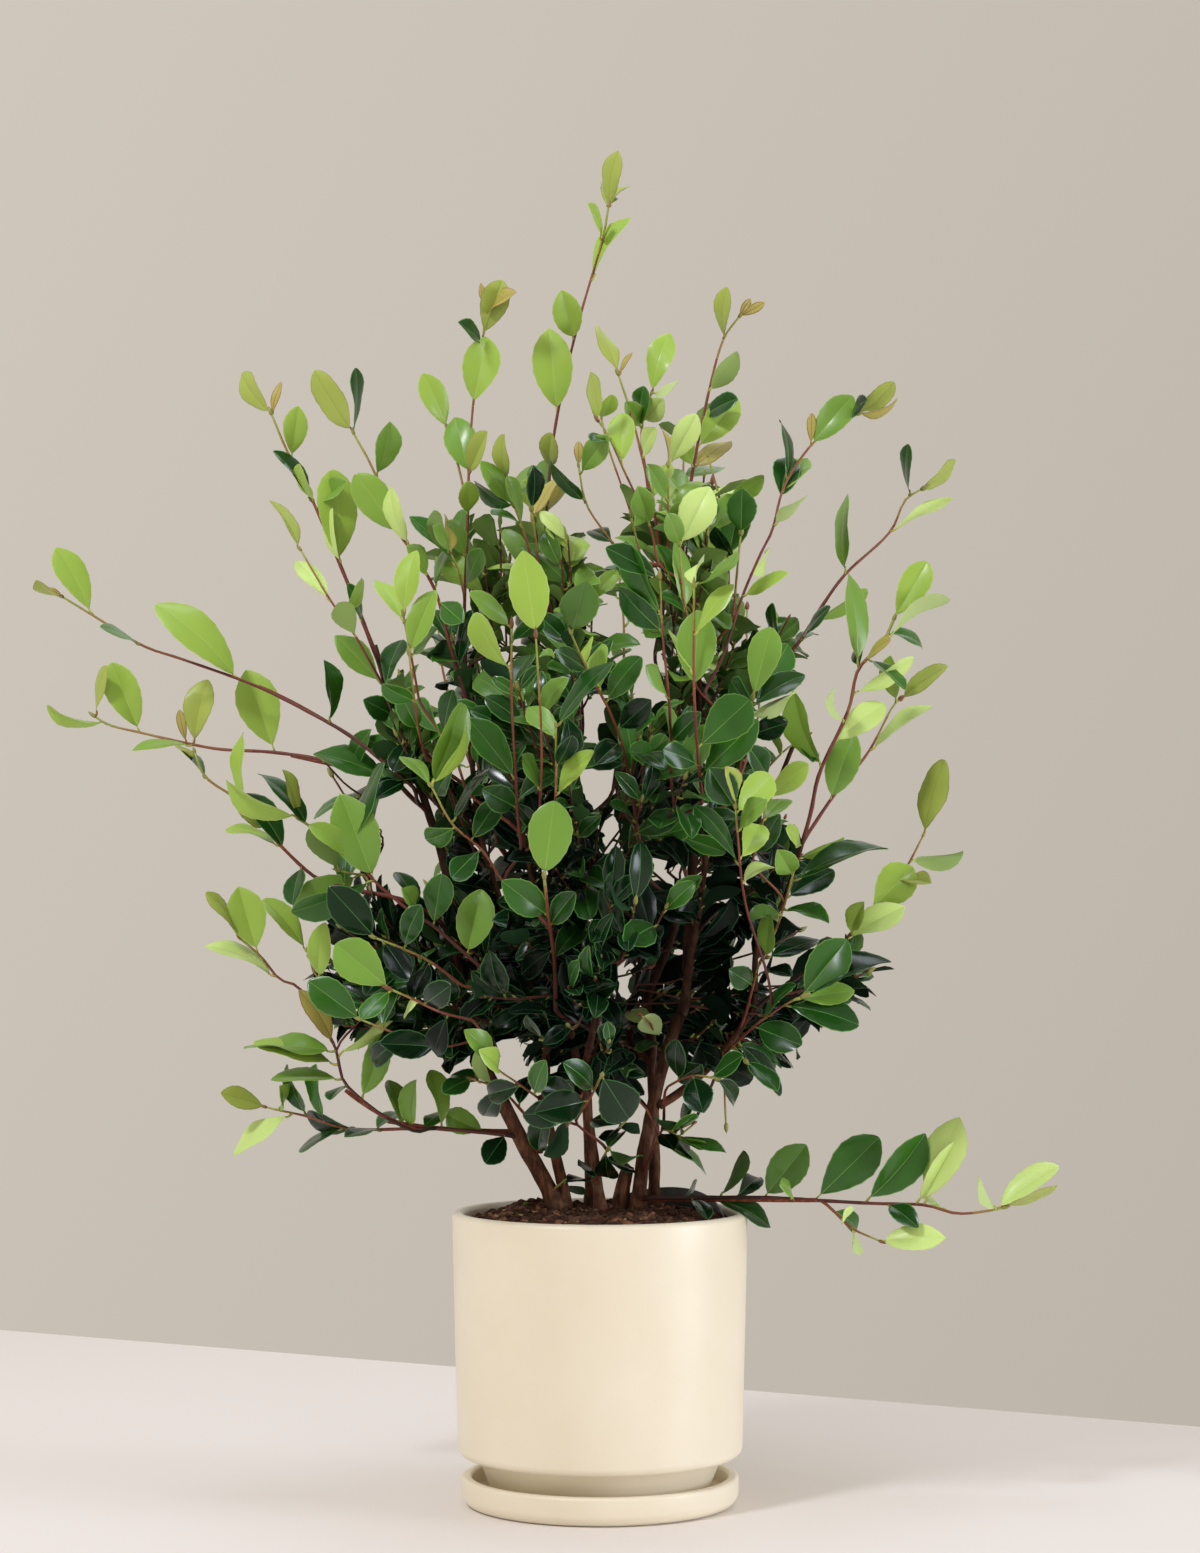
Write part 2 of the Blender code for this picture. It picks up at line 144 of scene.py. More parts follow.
# leaders carry the stems on through the crown: radius at the root and tip in mm, then
# points (across, up, depth) in mm, drawn as the front view shows them
LEADERS = {
    "left_leader": ((3.5, 1.9), (
        (-98, 340, -5), (-100, 385, -8), (-106, 432, -6), (-122, 486, 0), (-143, 545, 8), (-158, 597, 14),
    )),
    "left_inner_leader": ((2.3, 1.5), (
        (-41, 345, -30), (-55, 377, -34), (-70, 419, -36), (-83, 461, -34), (-90, 517, -26),
        (-94, 560, -18), (-95, 600, -10),
    )),
    "front_leader": ((2.4, 1.7), (
        (-26, 350, -14), (-31, 372, -28), (-42, 410, -52), (-50, 447, -74), (-57, 480, -92),
    )),
    "central_leader": ((2.8, 1.5), (
        (-26, 350, -14), (-18, 395, -4), (-15, 447, 0), (-18, 505, 0), (-20, 557, 2), (-28, 615, 4),
        (-38, 685, 5),
    )),
    "right_leader": ((3.5, 1.7), (
        (60, 350, 4), (62, 391, 4), (64, 433, 2), (68, 489, 0), (69, 559, -4), (68, 615, -6), (62, 657, 4),
    )),
    "right_outer_leader": ((2.3, 1.7), (
        (97, 345, 2), (109, 382, -4), (117, 400, -8), (128, 417, -10), (137, 442, -10),
    )),
    "rear_right_leader": ((2.2, 1.2), (
        (34, 350, 62), (50, 392, 76), (64, 440, 88), (82, 490, 98), (98, 540, 108),
    )),
    "rear_leader": ((2.8, 1.5), (
        (-12, 350, 70), (-22, 400, 82), (-36, 450, 92), (-46, 505, 98), (-50, 560, 96), (-44, 620, 88),
    )),
    "rear_left_leader": ((2.4, 1.6), ((-20, 390, 80), (-46, 425, 96), (-74, 462, 108), (-92, 500, 116))),
    "left_rear_leader": ((2.6, 1.7), ((-101, 380, -6), (-104, 412, 20), (-106, 448, 44), (-112, 486, 60))),
    "right_rear_leader": ((2.4, 1.6), ((70, 440, 88), (96, 462, 92), (120, 492, 90), (136, 528, 80))),
    "low_front_leader": ((2.4, 1.7), ((-12, 300, -8), (-6, 322, -40), (-2, 345, -74), (2, 372, -100))),
    "front_right_leader": ((2.6, 1.7), ((60, 356, 4), (66, 392, -36), (72, 430, -66), (76, 470, -86))),
    "low_rear_leader": ((2.4, 1.6), ((20, 320, 56), (24, 346, 86), (28, 376, 112), (30, 400, 130))),
}

# stems and boughs that a leader carries on; the other leaders fork off the wood that is there
CARRIED_ON = {
    "left_stem": "left_leader",
    "middle_stem": "central_leader",
    "right_stem": "right_leader",
    "rear_right_stem": "rear_right_leader",
    "rear_stem": "rear_leader",
    "left_fork": "left_inner_leader",
    "right_fork": "right_outer_leader",
}
FREE_LEADERS = (
    "front_leader", "rear_left_leader", "left_rear_leader", "right_rear_leader", "low_front_leader",
    "front_right_leader", "low_rear_leader",
)

# a second foot of the left fork, and a pruned stump, drawn like the leaders
SIDE_STEMS = {
    "left_fork_foot": ((4.4, 3.0), ((-22, 199, 2), (-27, 224, 0), (-33, 250, -4), (-41, 282, -12))),
    "pruned_stump": ((6.6, 4.4), ((13, 199, 4), (15, 214, 4), (18, 226, 5), (20, 233, 6))),
}

# measured shoots, as the front view draws them, in mm: depth at the root and at the tip and
# radius at the root; points (across, up); leaves by where their stalk starts and where they
# end (across, up, across, up), the width they show and their tone, small for an underside
SHOOTS = {
    "leader": ((5, 10, 1.7), ((-38, 685), (-32, 748), (-17, 818), (1, 881), (6, 907)), (
        (6, 909, 13, 947, 14, "O"), (3, 906, 0, 920, 7, "O"), (6, 905, 18, 921, 8, "O"),
        (-5, 886, -9, 909, 6, "L"), (-5, 856, 22, 899, 10, "Y"), (-19, 813, -27, 848, 21, "L"),
        (-33, 762, -36, 821, 29, "L"), (-38, 722, -34, 747, 14, "O"), (-41, 693, -48, 724, 10, "M"),
        (-40, 690, -27, 716, 10, "B"), (-38, 685, -55, 713, 15, "L"),
    )),
    "top_left": ((-5, -10, 1.5), ((-95, 629), (-93, 685), (-92, 727), (-89, 769), (-83, 811), (-80, 835)), (
        (-82, 815, -69, 855, 21, "O"), (-80, 835, -84, 853, 5, "B"), (-79, 829, -59, 846, 7, "B"),
        (-85, 811, -100, 825, 10, "D"), (-89, 763, -80, 815, 27, "L"), (-93, 720, -102, 758, 24, "M"),
        (-93, 688, -93, 713, 15, "L"), (-93, 720, -79, 748, 14, "O"), (-94, 657, -107, 685, 15, "M"),
        (-94, 639, -83, 665, 14, "M"),
    )),
    "top_left_twig": ((-8, 0, 1.0), ((-94, 699), (-100, 725), (-107, 749)), (
        (-107, 750, -125, 789, 19, "L"),
    )),
    "top_right": ((20, 28, 1.5), ((57, 657), (64, 713), (75, 769), (86, 811), (98, 829)), (
        (87, 812, 90, 850, 12, "O"), (98, 830, 106, 842, 6, "B"), (99, 828, 116, 839, 7, "B"),
        (75, 776, 97, 804, 15, "l"), (78, 755, 97, 771, 14, "D"), (72, 734, 97, 771, 23, "L"),
        (74, 719, 92, 741, 13, "B"), (66, 720, 54, 748, 15, "L"), (62, 699, 44, 721, 14, "M"),
    )),
    "top_right_front": ((-30, -60, 1.3), ((66, 572), (64, 601), (58, 636), (56, 667)), (
        (57, 666, 77, 709, 27, "Y"), (59, 629, 40, 668, 13, "G"), (57, 620, 52, 671, 13, "M"),
        (56, 665, 47, 690, 15, "M"),
    )),
    "top_middle": ((-18, -25, 1.2), ((41, 671), (37, 698), (29, 732), (22, 760), (13, 788)), (
        (13, 789, -2, 823, 12, "O"), (14, 787, 23, 804, 4, "B"), (37, 699, 48, 725, 15, "P"),
        (29, 730, 39, 751, 11, "L"),
    )),
    "top_middle_front": ((-80, -115, 1.2), ((40, 657), (35, 681), (17, 720), (6, 745), (-1, 755)), (
        (-1, 756, -7, 790, 11, "O"), (15, 721, 15, 761, 20, "L"), (6, 743, -6, 741, 7, "D"),
        (35, 681, 26, 709, 18, "M"),
    )),
    "top_middle_rear": ((8, 0, 1.2), ((36, 692), (32, 720), (29, 748), (36, 774)), (
        (36, 775, 49, 818, 19, "L"), (26, 755, 45, 771, 18, "Y"), (37, 773, 55, 783, 7, "y"),
        (29, 748, 18, 769, 14, "M"), (29, 751, 31, 780, 11, "G"),
    )),
    "top_bud": ((-70, -100, 1.0), ((16, 657), (10, 668), (-9, 695), (-15, 723)), (
        (-15, 724, -15, 741, 7, "B"), (-10, 717, 6, 745, 18, "M"), (-9, 698, -35, 728, 10, "D"),
        (9, 667, -6, 678, 13, "D"),
    )),
    "top_right_bud": ((-40, -46, 1.2), ((48, 657), (48, 693), (48, 723)), (
        (50, 723, 68, 760, 19, "Y"), (47, 725, 43, 750, 6, "B"), (48, 699, 33, 725, 13, "M"),
        (48, 678, 64, 699, 17, "M"),
    )),
    "oval_shoot": ((10, 5, 1.1), ((90, 629), (90, 657), (86, 692), (76, 730)), (
        (89, 657, 100, 706, 22, "G"), (86, 692, 115, 717, 13, "L"), (90, 636, 80, 657, 11, "M"),
    )),
    "oval_twig": ((-15, -20, 1.0), ((94, 622), (97, 657), (99, 675)), (
        (99, 676, 100, 708, 22, "G"), (97, 657, 81, 681, 10, "D"),
    )),
    "shoulder_left": ((-20, -30, 1.8), (
        (-94, 559), (-106, 600), (-115, 634), (-129, 659), (-142, 678), (-159, 720), (-173, 746),
    ), (
        (-175, 747, -201, 791, 20, "O"), (-174, 748, -172, 793, 6, "D"), (-155, 718, -148, 755, 18, "M"),
        (-142, 673, -172, 718, 26, "P"), (-136, 667, -147, 710, 14, "L"), (-115, 636, -104, 671, 7, "M"),
        (-114, 630, -96, 613, 18, "G"), (-122, 646, -136, 667, 13, "L"), (-104, 597, -120, 622, 14, "D"),
        (-99, 581, -90, 622, 10, "K"),
    )),
    "outer_left": ((10, 20, 1.7), ((-159, 595), (-178, 643), (-202, 699), (-220, 734), (-231, 760)), (
        (-166, 612, -178, 640, 8, "G"), (-232, 760, -252, 789, 15, "O"), (-231, 766, -224, 783, 6, "B"),
        (-218, 727, -212, 766, 18, "L"), (-207, 696, -230, 734, 10, "D"), (-206, 698, -212, 725, 8, "Y"),
        (-184, 655, -188, 721, 29, "L"), (-188, 650, -188, 694, 8, "L"), (-201, 695, -178, 713, 10, "M"),
    )),
    "side_left": ((-45, -60, 1.3), ((-166, 594), (-173, 606), (-190, 630), (-210, 664)), (
        (-211, 666, -232, 699, 9, "O"), (-190, 629, -213, 657, 14, "L"), (-171, 605, -184, 627, 18, "l"),
        (-181, 622, -166, 643, 10, "L"),
    )),
    "shoulder_right": ((-20, -35, 1.6), (
        (74, 566), (86, 589), (99, 629), (113, 662), (121, 678), (129, 708), (145, 734), (162, 750),
        (181, 760),
    ), (
        (148, 737, 178, 773, 22, "M"), (181, 760, 207, 783, 14, "O"), (178, 759, 188, 770, 8, "D"),
        (181, 758, 209, 771, 4, "B"), (147, 741, 149, 761, 7, "B"), (131, 715, 126, 756, 7, "D"),
        (125, 699, 133, 730, 20, "D"), (130, 706, 145, 729, 17, "M"), (122, 682, 147, 703, 7, "y"),
        (107, 646, 116, 664, 4, "L"), (100, 633, 132, 648, 10, "L"), (82, 578, 84, 590, 5, "Y"),
    )),
    "outer_right": ((30, 42, 1.5), (
        (127, 585), (141, 601), (156, 625), (173, 648), (203, 676), (214, 699), (226, 707),
    ), (
        (227, 708, 250, 727, 10, "O"), (216, 703, 217, 739, 7, "D"), (203, 676, 248, 701, 8, "Y"),
        (170, 648, 174, 704, 11, "M"), (139, 603, 162, 624, 7, "D"), (150, 613, 188, 636, 10, "L"),
        (137, 593, 150, 606, 7, "D"), (128, 590, 121, 627, 6, "D"),
    )),
    "side_right": ((-10, -25, 2.0), (
        (137, 442), (141, 456), (148, 481), (154, 508), (174, 551), (181, 580), (198, 598), (206, 615),
    ), (
        (204, 603, 226, 596, 9, "D"), (190, 585, 214, 566, 8, "G"), (206, 615, 230, 656, 22, "L"),
        (202, 600, 246, 629, 10, "y"), (181, 583, 174, 648, 17, "M"), (184, 578, 186, 601, 7, "D"),
        (187, 581, 204, 601, 7, "B"), (181, 563, 220, 589, 12, "Y"), (163, 532, 200, 556, 20, "Y"),
        (153, 512, 136, 566, 19, "P"), (170, 543, 164, 566, 6, "y"), (141, 457, 130, 469, 10, "L"),
        (139, 447, 171, 463, 10, "L"),
    )),
    "low_side_right": ((0, 50, 1.3), ((143, 461), (164, 492), (188, 522), (204, 552), (210, 559)), (
        (212, 559, 244, 583, 13, "O"), (206, 556, 204, 590, 14, "L"), (189, 523, 234, 554, 9, "Y"),
        (162, 489, 178, 537, 24, "M"),
    )),
    "waist_right": ((-10, 0, 1.4), ((172, 391), (187, 409), (204, 426), (216, 444), (226, 463)), (
        (227, 465, 241, 517, 20, "O"), (218, 445, 254, 453, 13, "m"), (187, 409, 219, 442, 29, "L"),
        (174, 388, 213, 414, 20, "Y"), (176, 393, 185, 417, 14, "L"), (206, 427, 232, 430, 7, "O"),
    )),
    "low_right": ((-6, -36, 1.8), (
        (29, 211), (71, 211), (116, 211), (155, 209), (192, 207), (226, 206), (249, 200), (271, 202),
        (281, 204),
    ), (
        (115, 211, 144, 248, 27, "F"), (148, 211, 195, 253, 32, "G"), (185, 209, 227, 256, 26, "G"),
        (226, 206, 251, 267, 29, "Y"), (223, 209, 256, 254, 17, "Y"), (277, 203, 320, 233, 17, "Y"),
        (281, 204, 319, 220, 6, "O"), (274, 204, 264, 224, 7, "y"), (200, 206, 222, 190, 15, "D"),
        (83, 212, 100, 244, 10, "d"), (95, 212, 111, 225, 15, "D"), (78, 211, 119, 190, 13, "D"),
        (64, 211, 75, 196, 10, "K"), (59, 211, 67, 221, 6, "K"), (134, 209, 125, 220, 7, "M"),
        (239, 203, 228, 214, 5, "y"),
    )),
    "low_right_twig": ((-24, -40, 1.1), ((155, 209), (165, 200), (175, 190), (195, 181)), (
        (197, 181, 241, 183, 19, "Y"), (162, 204, 179, 189, 13, "D"), (171, 195, 171, 203, 6, "Y"),
        (176, 189, 184, 175, 7, "y"),
    )),
    "upper_arm": ((-5, 12, 1.6), (
        (-132, 499), (-170, 530), (-189, 542), (-229, 563), (-255, 574), (-295, 588), (-321, 597),
        (-354, 617), (-377, 631),
    ), (
        (-379, 633, -396, 643, 6, "O"), (-377, 631, -387, 638, 4, "B"), (-354, 617, -382, 666, 22, "L"),
        (-322, 597, -351, 610, 5, "M"), (-255, 574, -312, 626, 27, "L"), (-188, 547, -194, 587, 12, "D"),
        (-138, 497, -160, 487, 13, "K"),
    )),
    "lower_arm": ((20, 45, 1.5), (
        (-131, 489), (-148, 504), (-191, 516), (-229, 522), (-265, 524), (-288, 528), (-323, 536),
        (-344, 541), (-354, 547),
    ), (
        (-348, 542, -388, 554, 7, "L"), (-355, 549, -346, 583, 7, "O"), (-323, 536, -343, 585, 25, "L"),
        (-284, 528, -275, 573, 21, "O"), (-289, 529, -295, 552, 7, "B"), (-288, 526, -328, 523, 4, "L"),
        (-229, 523, -248, 580, 31, "L"), (-150, 502, -201, 521, 19, "G"), (-173, 512, -160, 538, 14, "G"),
    )),
    "arm_shoot": ((-20, -50, 1.7), (
        (-118, 408), (-139, 419), (-178, 427), (-200, 435), (-225, 458), (-250, 486), (-276, 504),
        (-284, 522),
    ), (
        (-128, 414, -142, 438, 13, "D"), (-284, 522, -296, 527, 5, "O"), (-276, 503, -295, 524, 6, "D"),
        (-251, 489, -250, 536, 9, "L"), (-233, 466, -256, 491, 15, "O"), (-218, 453, -250, 493, 18, "D"),
        (-225, 455, -262, 468, 6, "L"), (-178, 428, -174, 464, 18, "G"), (-209, 442, -215, 415, 14, "D"),
    )),
    "front_left_shoot": ((-34, -80, 1.7), (
        (-30, 330), (-48, 342), (-66, 355), (-83, 371), (-117, 401), (-129, 408), (-155, 429), (-178, 454),
        (-211, 475),
    ), (
        (-205, 470, -240, 507, 12, "G"), (-211, 475, -262, 503, 15, "L"), (-211, 476, -223, 510, 10, "O"),
        (-157, 431, -182, 493, 34, "M"), (-174, 451, -152, 515, 5, "D"), (-174, 445, -204, 471, 15, "M"),
        (-117, 403, -111, 437, 22, "G"), (-131, 410, -139, 427, 10, "M"), (-92, 378, -83, 426, 27, "M"),
        (-158, 430, -216, 410, 19, "G"),
    )),
    "near_left": ((-110, -190, 1.3), ((-122, 517), (-127, 537), (-131, 566), (-134, 591)), (
        (-134, 592, -115, 636, 19, "P"), (-130, 559, -153, 570, 14, "D"), (-127, 536, -141, 566, 17, "G"),
    )),
    "near_left_top": ((-110, -190, 1.2), ((-127, 559), (-132, 587), (-138, 618)), (
        (-138, 619, -129, 664, 19, "L"), (-137, 615, -158, 643, 14, "L"), (-132, 590, -114, 609, 11, "M"),
    )),
    "left_rear_fan": ((0, 30, 1.3), ((-118, 517), (-139, 545), (-153, 570)), (
        (-153, 570, -186, 604, 20, "M"), (-150, 566, -139, 601, 15, "D"), (-139, 543, -166, 559, 18, "D"),
        (-132, 534, -145, 508, 15, "K"),
    )),
    "left_tip": ((-18, -30, 1.6), (
        (-132, 258), (-153, 269), (-176, 288), (-181, 298), (-185, 316), (-192, 328), (-210, 357),
        (-224, 363), (-237, 379), (-251, 391),
    ), (
        (-251, 391, -276, 424, 8, "O"), (-240, 383, -253, 428, 28, "L"), (-229, 365, -277, 386, 11, "Y"),
        (-186, 318, -211, 356, 15, "B"), (-182, 309, -136, 360, 6, "Y"), (-183, 301, -242, 319, 15, "Y"),
        (-184, 312, -249, 315, 8, "M"), (-181, 293, -230, 293, 10, "M"), (-168, 280, -153, 325, 19, "M"),
        (-178, 289, -188, 279, 7, "D"),
    )),
    "left_tip_inner": ((10, 0, 1.2), ((-159, 349), (-181, 356), (-197, 363), (-204, 382)), (
        (-204, 383, -236, 419, 16, "L"), (-198, 364, -192, 403, 17, "L"), (-178, 355, -168, 384, 14, "D"),
    )),
    "low_left": ((-2, 38, 1.6), (
        (-66, 255), (-110, 259), (-132, 259), (-174, 259), (-206, 268), (-225, 272), (-233, 274),
    ), (
        (-234, 275, -265, 284, 15, "O"), (-213, 270, -256, 241, 14, "L"), (-225, 272, -224, 289, 5, "M"),
        (-204, 268, -218, 304, 10, "D"), (-193, 265, -198, 304, 10, "D"), (-172, 260, -205, 269, 13, "D"),
        (-180, 260, -210, 244, 6, "D"), (-140, 260, -148, 293, 14, "M"), (-134, 260, -128, 293, 14, "M"),
        (-112, 259, -118, 300, 14, "M"), (-80, 256, -108, 269, 19, "M"), (-66, 255, -80, 235, 19, "K"),
        (-159, 260, -141, 270, 10, "D"), (-125, 259, -104, 273, 8, "D"), (-153, 259, -178, 253, 5, "D"),
    )),
    "left_hero": ((-95, -110, 1.5), ((-90, 335), (-111, 340), (-130, 349), (-146, 356)), (
        (-148, 357, -185, 388, 31, "M"), (-145, 356, -167, 335, 14, "G"), (-125, 346, -104, 359, 20, "K"),
        (-129, 349, -136, 340, 7, "Y"), (-106, 339, -115, 312, 18, "N"),
    )),
    "left_dark": ((-70, -85, 1.5), ((-97, 359), (-118, 375), (-139, 385), (-157, 392)), (
        (-158, 391, -190, 428, 27, "K"), (-150, 389, -134, 363, 18, "N"), (-139, 385, -125, 415, 17, "D"),
        (-118, 375, -131, 349, 15, "K"),
    )),
    "left_low_dark": ((-60, -70, 1.3), ((-87, 321), (-111, 316), (-139, 324), (-167, 335)), (
        (-168, 335, -204, 362, 25, "G"), (-115, 315, -154, 318, 21, "K"), (-139, 323, -159, 305, 17, "K"),
        (-153, 330, -145, 359, 15, "D"),
    )),
    "hero_stem": ((-24, -84, 2.0), ((-31, 342), (-32, 377), (-36, 407), (-39, 434)), (
        (-37, 408, -69, 432, 24, "G"), (-42, 435, -32, 488, 32, "M"), (-32, 377, -12, 401, 18, "D"),
        (-33, 384, -55, 366, 17, "N"), (-36, 401, -17, 424, 17, "D"),
    )),
    "front_left_tall": ((-90, -110, 1.5), ((-55, 454), (-58, 481), (-59, 505), (-62, 559), (-62, 610)), (
        (-62, 610, -92, 634, 14, "M"), (-61, 576, -88, 620, 18, "L"), (-59, 505, -94, 547, 23, "G"),
        (-61, 566, -48, 590, 13, "D"), (-59, 489, -33, 506, 15, "D"), (-58, 481, -83, 496, 20, "D"),
        (-62, 601, -41, 618, 14, "G"),
    )),
    "front_tall": ((-92, -170, 1.4), ((-43, 461), (-42, 486), (-41, 532), (-45, 603)), (
        (-45, 603, -54, 664, 29, "L"), (-41, 496, -55, 520, 11, "M"),
    )),
    "front_middle": ((-100, -118, 1.3), ((-36, 461), (-31, 493), (-31, 540)), (
        (-31, 539, 10, 586, 13, "G"), (-31, 491, -4, 523, 14, "L"), (-31, 531, -50, 554, 17, "M"),
        (-31, 510, -20, 534, 14, "K"),
    )),
    "front_middle_right": ((-30, -112, 1.3), (
        (31, 440), (25, 476), (18, 517), (8, 548), (-10, 582), (-20, 605),
    ), (
        (-20, 606, -10, 643, 28, "F"), (-10, 583, -7, 601, 8, "Y"), (1, 564, 1, 598, 15, "M"),
        (-9, 581, -32, 594, 14, "D"), (4, 559, 29, 589, 19, "G"), (11, 538, 36, 559, 20, "K"),
        (13, 529, -3, 513, 18, "K"),
    )),
    "centre_right_tall": ((-50, -150, 1.4), (
        (60, 436), (54, 468), (50, 503), (49, 549), (44, 605), (42, 644),
    ), (
        (43, 615, 18, 671, 18, "G"), (44, 608, 13, 639, 19, "D"), (42, 643, 4, 666, 18, "D"),
        (48, 559, 32, 583, 10, "M"), (50, 519, 44, 554, 10, "M"), (50, 531, 71, 550, 17, "D"),
    )),
    "right_stem_shoot": ((-110, -190, 1.5), ((72, 489), (69, 515), (66, 566), (66, 638)), (
        (66, 638, 73, 656, 6, "Y"), (66, 638, 97, 664, 6, "M"), (66, 606, 94, 640, 13, "L"),
        (66, 568, 69, 622, 29, "M"), (66, 575, 48, 608, 7, "L"), (69, 524, 105, 559, 32, "G"),
        (71, 506, 111, 545, 25, "G"), (69, 513, 44, 524, 18, "D"),
    )),
    "right_dark_fan": ((-60, -75, 1.5), ((95, 496), (102, 531), (107, 559)), (
        (107, 559, 120, 610, 24, "M"), (108, 553, 144, 576, 17, "D"), (107, 547, 137, 566, 10, "y"),
        (104, 534, 132, 543, 18, "K"), (102, 527, 117, 506, 17, "D"),
    )),
    "right_oval": ((-40, -50, 1.2), ((107, 531), (111, 548), (112, 564)), (
        (112, 564, 132, 598, 25, "G"), (111, 550, 92, 573, 15, "D"),
    )),
    "right_low_front": ((-105, -122, 1.4), ((102, 415), (99, 433), (97, 457), (95, 483)), (
        (96, 480, 120, 506, 23, "L"), (95, 483, 88, 512, 10, "O"), (97, 445, 113, 471, 20, "L"),
        (98, 442, 66, 484, 14, "G"), (100, 489, 76, 511, 24, "D"), (99, 431, 120, 442, 10, "L"),
        (97, 468, 117, 489, 14, "M"),
    )),
    "right_small": ((-70, -80, 1.1), ((107, 447), (113, 468), (117, 489)), (
        (117, 489, 146, 514, 18, "L"), (111, 448, 126, 479, 17, "D"), (114, 473, 132, 489, 13, "M"),
    )),
    "right_twig": ((20, 30, 1.0), ((113, 506), (129, 523), (144, 533)), (
        (127, 521, 125, 534, 6, "L"), (141, 530, 149, 515, 10, "D"),
    )),
    "right_fork_fan": ((-30, -40, 1.5), ((123, 398), (129, 415), (136, 440)), (
        (138, 435, 124, 454, 18, "M"), (136, 433, 202, 454, 15, "G"), (134, 421, 164, 439, 19, "K"),
        (127, 411, 160, 402, 11, "G"), (125, 408, 106, 404, 15, "M"),
    )),
    "right_low_fan": ((-20, -60, 1.5), ((90, 314), (111, 333), (130, 346), (141, 351)), (
        (139, 350, 173, 391, 29, "G"), (141, 351, 204, 375, 17, "K"), (137, 346, 178, 355, 17, "M"),
        (130, 342, 181, 331, 22, "D"), (111, 329, 141, 317, 23, "D"), (95, 315, 127, 302, 10, "D"),
        (113, 335, 137, 359, 8, "D"), (99, 319, 126, 282, 14, "D"),
    )),
    "right_low_side": ((0, 0, 1.2), ((107, 359), (111, 373), (116, 378)), (
        (116, 378, 153, 391, 14, "K"), (108, 366, 134, 365, 7, "D"), (107, 359, 90, 370, 18, "D"),
        (115, 380, 120, 408, 14, "M"),
    )),
    "low_front_right": ((-60, -85, 1.4), ((48, 289), (64, 296), (81, 294)), (
        (46, 305, 71, 304, 19, "K"), (65, 294, 72, 270, 22, "K"), (82, 293, 94, 277, 12, "D"),
        (57, 291, 54, 321, 15, "K"), (79, 294, 100, 310, 14, "D"),
    )),
    "low_front_twig": ((-20, -40, 1.1), ((37, 244), (44, 259), (54, 254)), (
        (41, 259, 52, 244, 13, "K"), (54, 254, 88, 242, 9, "D"), (46, 249, 74, 227, 4, "D"),
        (51, 255, 66, 270, 7, "D"),
    )),
    "low_front": ((-60, -90, 1.4), ((-17, 265), (-6, 282), (1, 296)), (
        (1, 296, 20, 266, 32, "K"), (-10, 279, -46, 270, 24, "K"), (-5, 286, -26, 305, 17, "D"),
        (-1, 294, 23, 312, 15, "K"),
    )),
    "low_front_left": ((-60, -75, 1.3), ((-27, 265), (-39, 277), (-55, 289), (-73, 301)), (
        (-73, 301, -95, 328, 15, "M"), (-71, 300, -85, 314, 14, "L"), (-55, 289, -78, 283, 18, "K"),
        (-39, 277, -18, 287, 18, "K"), (-48, 282, -38, 307, 15, "D"), (-36, 273, -43, 244, 17, "K"),
    )),
    "low_left_inner": ((-30, -40, 1.2), ((-55, 272), (-69, 286), (-90, 294)), (
        (-84, 291, -104, 296, 12, "K"), (-90, 294, -110, 284, 14, "K"), (-71, 286, -81, 268, 17, "K"),
        (-76, 289, -86, 315, 11, "y"), (-59, 275, -48, 296, 13, "K"),
    )),
    "dead_twig": ((-20, -30, 0.6), ((84, 314), (87, 304), (87, 284), (88, 262)), (

    )),
    "crown_left_fan": ((0, -20, 1.2), ((-44, 640), (-50, 665), (-56, 684), (-62, 700), (-66, 714)), (
        (-60, 694, -88, 712, 11, "G"), (-55, 680, -66, 716, 9, "M"), (-66, 714, -67, 746, 12, "O"),
        (-62, 700, -46, 724, 15, "m"), (-60, 694, -84, 727, 14, "M"), (-56, 684, -76, 689, 6, "G"),
    )),
    "left_crown_low": ((-20, -28, 1.3), ((-97, 640), (-100, 652), (-105, 662)), (
        (-100, 651, -134, 688, 12, "G"), (-104, 661, -117, 692, 13, "m"), (-105, 662, -118, 681, 9, "M"),
        (-104, 664, -109, 689, 7, "B"),
    )),
    "arm_shoot_leaves": ((-20, -26, 1.1), ((-164, 436), (-174, 437), (-182, 439)), (
        (-180, 439, -201, 471, 22, "m"), (-168, 436, -215, 412, 26, "M"),
    )),
    "low_right_leaf": ((-20, -26, 1.0), ((90, 320), (96, 313), (101, 307)), (
        (101, 307, 124, 285, 13, "D"),
    )),
    "crown_left_inner": ((-40, -50, 1.1), ((-44, 664), (-46, 680), (-48, 692)), (
        (-48, 690, -47, 724, 13, "D"), (-45, 686, -29, 717, 10, "B"),
    )),
    "crown_right_fan": ((-30, -40, 1.0), ((30, 655), (26, 670), (22, 688)), (
        (22, 690, 36, 706, 12, "D"), (20, 676, 28, 700, 13, "M"), (23, 682, 16, 711, 8, "m"),
    )),
    "top_middle_leaf": ((-70, -74, 0.8), ((5, 740), (3, 748), (1, 757)), (
        (1, 757, 8, 774, 13, "P"),
    )),
    "low_centre_left": ((-46, -56, 1.1), ((-12, 286), (-16, 276), (-21, 265)), (
        (-18, 270, -54, 269, 21, "K"), (-21, 265, -39, 240, 15, "d"), (-15, 278, -42, 291, 20, "K"),
    )),
    "low_centre_right": ((-20, -30, 1.0), ((26, 278), (21, 268), (13, 259)), (
        (13, 259, 27, 262, 10, "d"), (17, 263, -6, 265, 12, "N"), (14, 260, 4, 250, 8, "N"),
    )),
